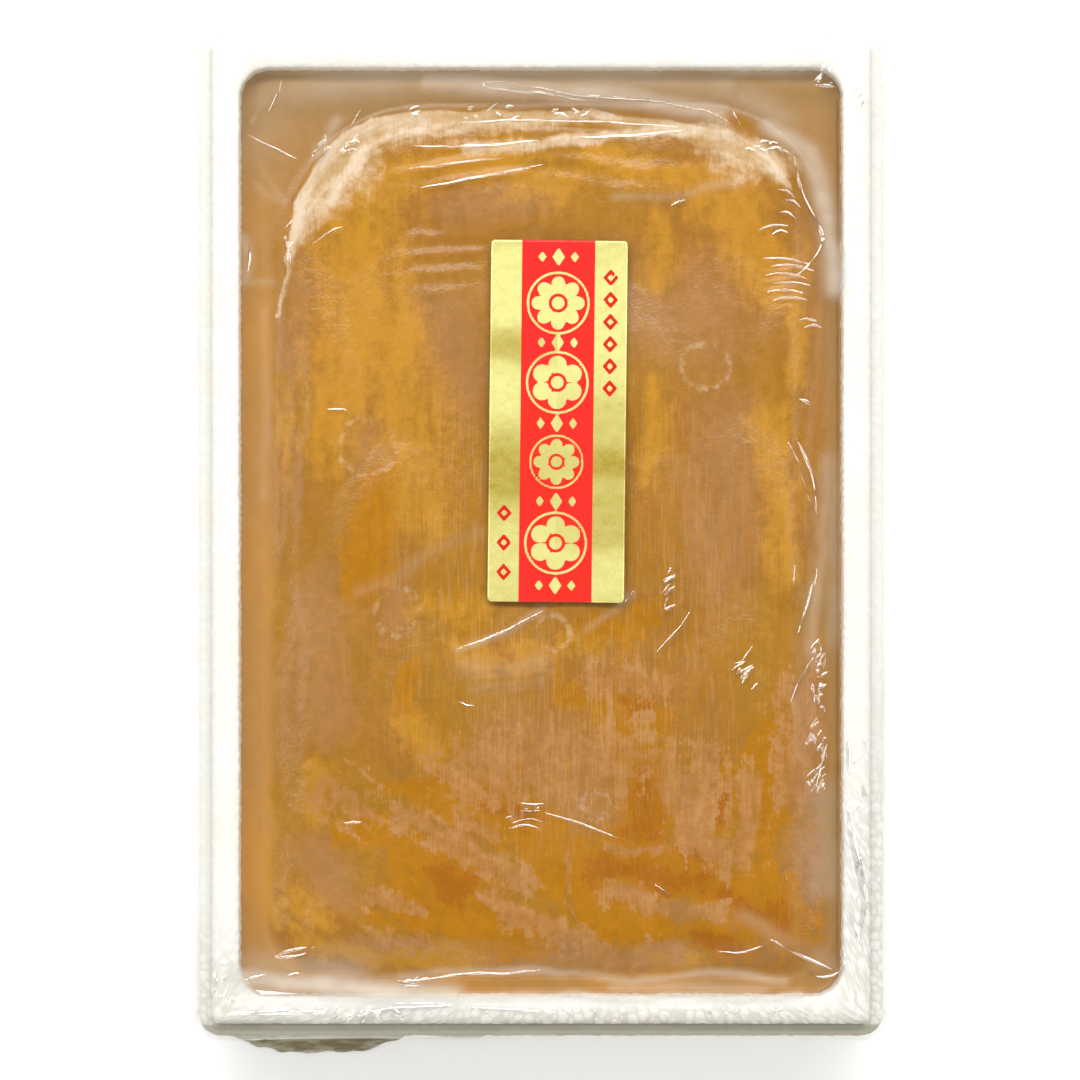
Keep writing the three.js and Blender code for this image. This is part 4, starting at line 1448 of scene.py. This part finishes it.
def roe_material():
    m = new_material("roe")
    streaks = m.attribute("streaks")
    scratches = m.noise((0.45, 11, 11), 2, 0.6)
    mottle = m.noise((3, 3.6, 3), 5, 0.74)
    grain = m.noise((0.8, 0.7, 1), 0)
    cloud = m.noise((34, 46, 20), 1)
    scraped_part = m.attribute("scraped")
    fibres = m.between(0.4, streaks, scratches)
    ragged = m.math("SUBTRACT", m.math("ADD", mottle, fibres), 1.0)

    def cover(name, low, high, raggedness, most):
        """How much of a field's colour shows, with a ragged outline."""
        value = m.math("ADD", m.attribute(name), m.times(ragged, raggedness))
        return m.step(value, low, high, 0.0, most)

    colour = m.mix(m.step(cloud, 0.35, 0.65), ROE_PINK, ROE_BEIGE)
    colour = m.mix(cover("pale", 0.1, 0.9, 0.7, 0.8), colour, ROE_PALE)
    colour = m.mix(cover("gold", 0.1, 0.95, 1.1, 0.68), colour, ROE_GOLD)
    colour = m.mix(cover("clear", 0.1, 0.42, 2.0, 0.9), colour, ROE_CLEAR)
    colour = m.mix(cover("deep", 0.3, 0.8, 2.6, 0.62), colour, ROE_DEEP)
    ice = cover("ice", 0.4, 0.62, 2.4, 0.78)
    colour = m.mix(ice, colour, ROE_ICE)
    light_fibre = m.times(ice, m.step(m.between(0.5, fibres, mottle), 0.5, 0.62, 0.0, 0.7))
    colour = m.mix(light_fibre, colour, ROE_SCRATCH)
    hole = m.times(ice, m.step(m.between(0.3, mottle, scratches), 0.47, 0.4, 0.0, 0.75))
    colour = m.mix(hole, colour, ROE_CLEAR)
    light_line = m.step(scratches, 0.52, 0.66, 0.0, 0.5)
    colour = m.mix(m.times(light_line, scraped_part), colour, ROE_SCRATCH)
    dark_line = m.step(scratches, 0.46, 0.34, 0.0, 0.55)
    colour = m.mix(m.times(dark_line, scraped_part), colour, ROE_CLEAR)
    shade_share = m.step(m.between(0.3, mottle, streaks), 0.34, 0.62)
    shading = m.mix(shade_share, SHADING_DARK, SHADING_LIGHT)
    colour = m.node("Mix", {0: 1.0, 6: colour, 7: shading}, 2, data_type="RGBA", blend_type="MULTIPLY")
    colour = m.mix(m.attribute("margin"), colour, sauce_colour(m))
    frost = cover("frost", 0.05, 0.8, 0.8, 0.9)
    colour = m.mix(m.times(frost, 0.85), colour, FROST_THIN_AND_LIP_LIGHT)
    white = m.times(frost, m.step(m.between(0.6, mottle, streaks), 0.36, 0.66, 0.0, 0.75))
    colour = m.mix(white, colour, FROST_THICK)
    brown_line = m.times(frost, m.step(scratches, 0.4, 0.26, 0.0, 0.5))
    colour = m.mix(brown_line, colour, ROE_BEIGE)
    ring = m.times(m.attribute("ring"), m.step(mottle, 0.42, 0.62, 0.0, 0.22))
    colour = m.mix(ring, colour, FROST_THICK)
    bump = m.bump(grain, 0.14, 0.5)
    return m.principled(
        {
            "Base Color": colour,
            "Roughness": m.step(frost, 0.1, 0.9, 0.3, 0.5),
            "Specular IOR Level": 0.3,
            "Normal": bump,
        }
    )


def sauce_colour(m):
    """Brown sauce with golden clouds, greyer on the right, with painted shade towards the far side and a
    painted pale band of light at the far lip.
    """
    place = m.node("TexCoord", {}, "Object")
    cloud = m.noise((20, 30, 20), 2)
    length = m.node("SeparateXYZ", {0: place}, 1)
    # painted shade towards the far lip
    far_lip_shade = m.step(length, 60 * MM, 125 * MM, 0.0, 0.8)
    grey_right = m.step(m.node("SeparateXYZ", {0: place}, 0), 60 * MM, 80 * MM, 0.0, 0.5)
    colour = m.mix(m.step(cloud, 0.35, 0.65), SAUCE_BROWN, SAUCE_GOLDEN)
    colour = m.mix(m.math("MAXIMUM", far_lip_shade, grey_right), colour, SAUCE_GREY)
    # painted light along the far lip, lifting the shadow that the lip casts
    return m.mix(m.step(length, 119 * MM, 126 * MM, 0.0, 0.7), colour, FROST_THIN_AND_LIP_LIGHT)


def sauce_material():
    m = new_material("sauce")
    fine = m.noise((3, 4, 3), 1)
    colour = m.mix(m.step(fine, 0.4, 0.7, 0.0, 0.08), sauce_colour(m), FROST_THIN_AND_LIP_LIGHT)
    return m.principled(
        {
            "Base Color": colour,
            "Roughness": 0.35,
            "Specular IOR Level": 0.15,
            "Normal": m.bump(fine, 0.25, 0.3),
        }
    )


def film_material(name, straight_gloss, tint=WHITE):
    m = new_material(name)
    normal = m.node("NewGeometry", {}, "Normal")
    gloss = m.reflection(normal, straight_gloss)
    # milky diffuse white, which also paints glare and reflections on the film
    milk_and_glare_share = m.math("ADD", m.attribute("milk_and_glare"), FILM_HAZE)
    clear = m.node("BsdfTransparent", {"Color": tint})
    milk = m.node("BsdfDiffuse", {"Color": FILM_MILK_AND_GLARE})
    body = m.node("MixShader", {0: milk_and_glare_share, 1: clear, 2: milk})
    shine = m.node("BsdfGlossy", {"Color": WHITE, "Roughness": FILM_ROUGHNESS})
    return m.finish(m.node("MixShader", {0: gloss, 1: body, 2: shine}))


def tail_material():
    m = new_material("film_tail")
    waves = m.noise((7, 1.8, 2), 3)
    normal = m.bump(waves, 0.3, 1.0)
    # the tail's dark colour also paints the shadow of the tray over it
    colour = m.mix(m.step(waves, 0.4, 0.65), TAIL_DARK, TAIL_LIGHT)
    clear = m.node("BsdfTransparent", {"Color": TAIL_TINT})
    milk = m.node("BsdfDiffuse", {"Color": colour})
    body = m.node("MixShader", {0: TAIL_MILK, 1: clear, 2: milk})
    fresnel = m.reflection(normal, FILM_GLOSS)
    shine = m.node("BsdfGlossy", {"Color": WHITE, "Roughness": 0.12, "Normal": normal})
    return m.finish(m.node("MixShader", {0: fresnel, 1: body, 2: shine}))


def label_material():
    m = new_material("label")
    crisp = LABEL_CRISPNESS
    red_part = m.step(m.attribute("band"), -crisp, crisp)
    gilt = m.times(m.step(m.attribute("gilt"), -crisp, crisp), red_part)
    ink = m.step(m.attribute("ink"), -crisp, crisp)
    foil_shine = m.attribute("foil_shine")
    grain = m.noise((0.5, 0.5, 0.5), 4, 0.7)
    red = m.mix(m.step(m.noise((12, 20, 12), 2), 0.4, 0.65), LABEL_RED, LABEL_DARK_RED)
    # foil colour between dark and light, set by its painted reflections
    foil = m.mix(m.math("ADD", foil_shine, m.step(grain, 0.3, 0.7, -0.08, 0.08)), FOIL_DARK, FOIL_LIGHT)
    strip = m.mix(ink, foil, LABEL_INK)
    band = m.mix(gilt, red, m.mix(0.5, foil, FOIL_LIGHT))
    colour = m.mix(red_part, strip, band)
    foil_part = m.between(red_part, m.math("SUBTRACT", 1.0, ink), gilt)
    return m.principled(
        {
            "Base Color": colour,
            "Metallic": m.times(foil_part, 0.25),
            "Roughness": m.step(grain, 0.3, 0.7, 0.16, 0.26),
            "Specular IOR Level": 0.3,
            "Coat Weight": 0.3,
            "Coat Roughness": 0.05,
            "Normal": m.bump(grain, 0.02, 0.4),
        }
    )


# Floor, lights and camera

def make_floor():
    bpy.ops.mesh.primitive_plane_add(size=FLOOR_SIZE, location=(0, 0, 0))
    floor = bpy.context.object
    floor.name = "floor"
    m = new_material("floor")
    grain = m.noise((40, 40, 40), 2)
    colour = m.mix(grain, FLOOR_DARK, FLOOR_LIGHT)
    glow = {"Emission Color": WHITE, "Emission Strength": FLOOR_GLOW}
    floor.data.materials.append(m.principled({"Base Color": colour, "Roughness": 0.9} | glow))


def add_light(name, azimuth, elevation, distance, size, power):
    """A soft rectangular light that faces the tray. Azimuth 0 is on the near side, 180 on the far."""
    turn, rise = math.radians(azimuth), math.radians(elevation)
    aim = Vector((0, 0, TRAY_HEIGHT * MM))
    back = Vector((math.sin(turn) * math.cos(rise), -math.cos(turn) * math.cos(rise), math.sin(rise)))
    light = bpy.data.lights.new(name, "AREA")
    light.shape = "RECTANGLE"
    light.size, light.size_y = size
    light.energy = power
    lamp = bpy.data.objects.new(name, light)
    lamp.location = aim + back * distance
    lamp.rotation_euler = back.to_track_quat("Z", "Y").to_euler()
    bpy.context.scene.collection.objects.link(lamp)


def make_lights():
    for light in LIGHTS:
        add_light(*light)
    m = Nodes(bpy.data.worlds.new("studio"))
    height = m.node("SeparateXYZ", {0: m.node("TexCoord", {}, "Generated")}, 2)
    colour = m.mix(m.step(height, *SKY_CHANGE), SKY_LOW, SKY_HIGH)
    bpy.context.scene.world = m.finish(m.node("Background", {"Color": colour}))
    bpy.context.scene.view_settings.view_transform = "Standard"
    bounces = bpy.context.scene.cycles
    bounces.diffuse_bounces = 1
    bounces.glossy_bounces = 2
    bounces.max_bounces = 4


def make_camera():
    data = bpy.data.cameras.new("camera")
    data.angle = 2 * math.atan(VIEW_LENGTH / 2 / CAMERA_DISTANCE)
    camera = bpy.data.objects.new("camera", data)
    camera.location = Vector((CAMERA_X, CAMERA_Y, LEDGE_HEIGHT + CAMERA_DISTANCE)) * MM
    bpy.context.scene.collection.objects.link(camera)
    bpy.context.scene.camera = camera


make_camera()
make_lights()
make_floor()
make_tray()
make_sauce()
make_roe()
make_film()
for tail in TAILS:
    make_film_tail(*tail)
make_label()
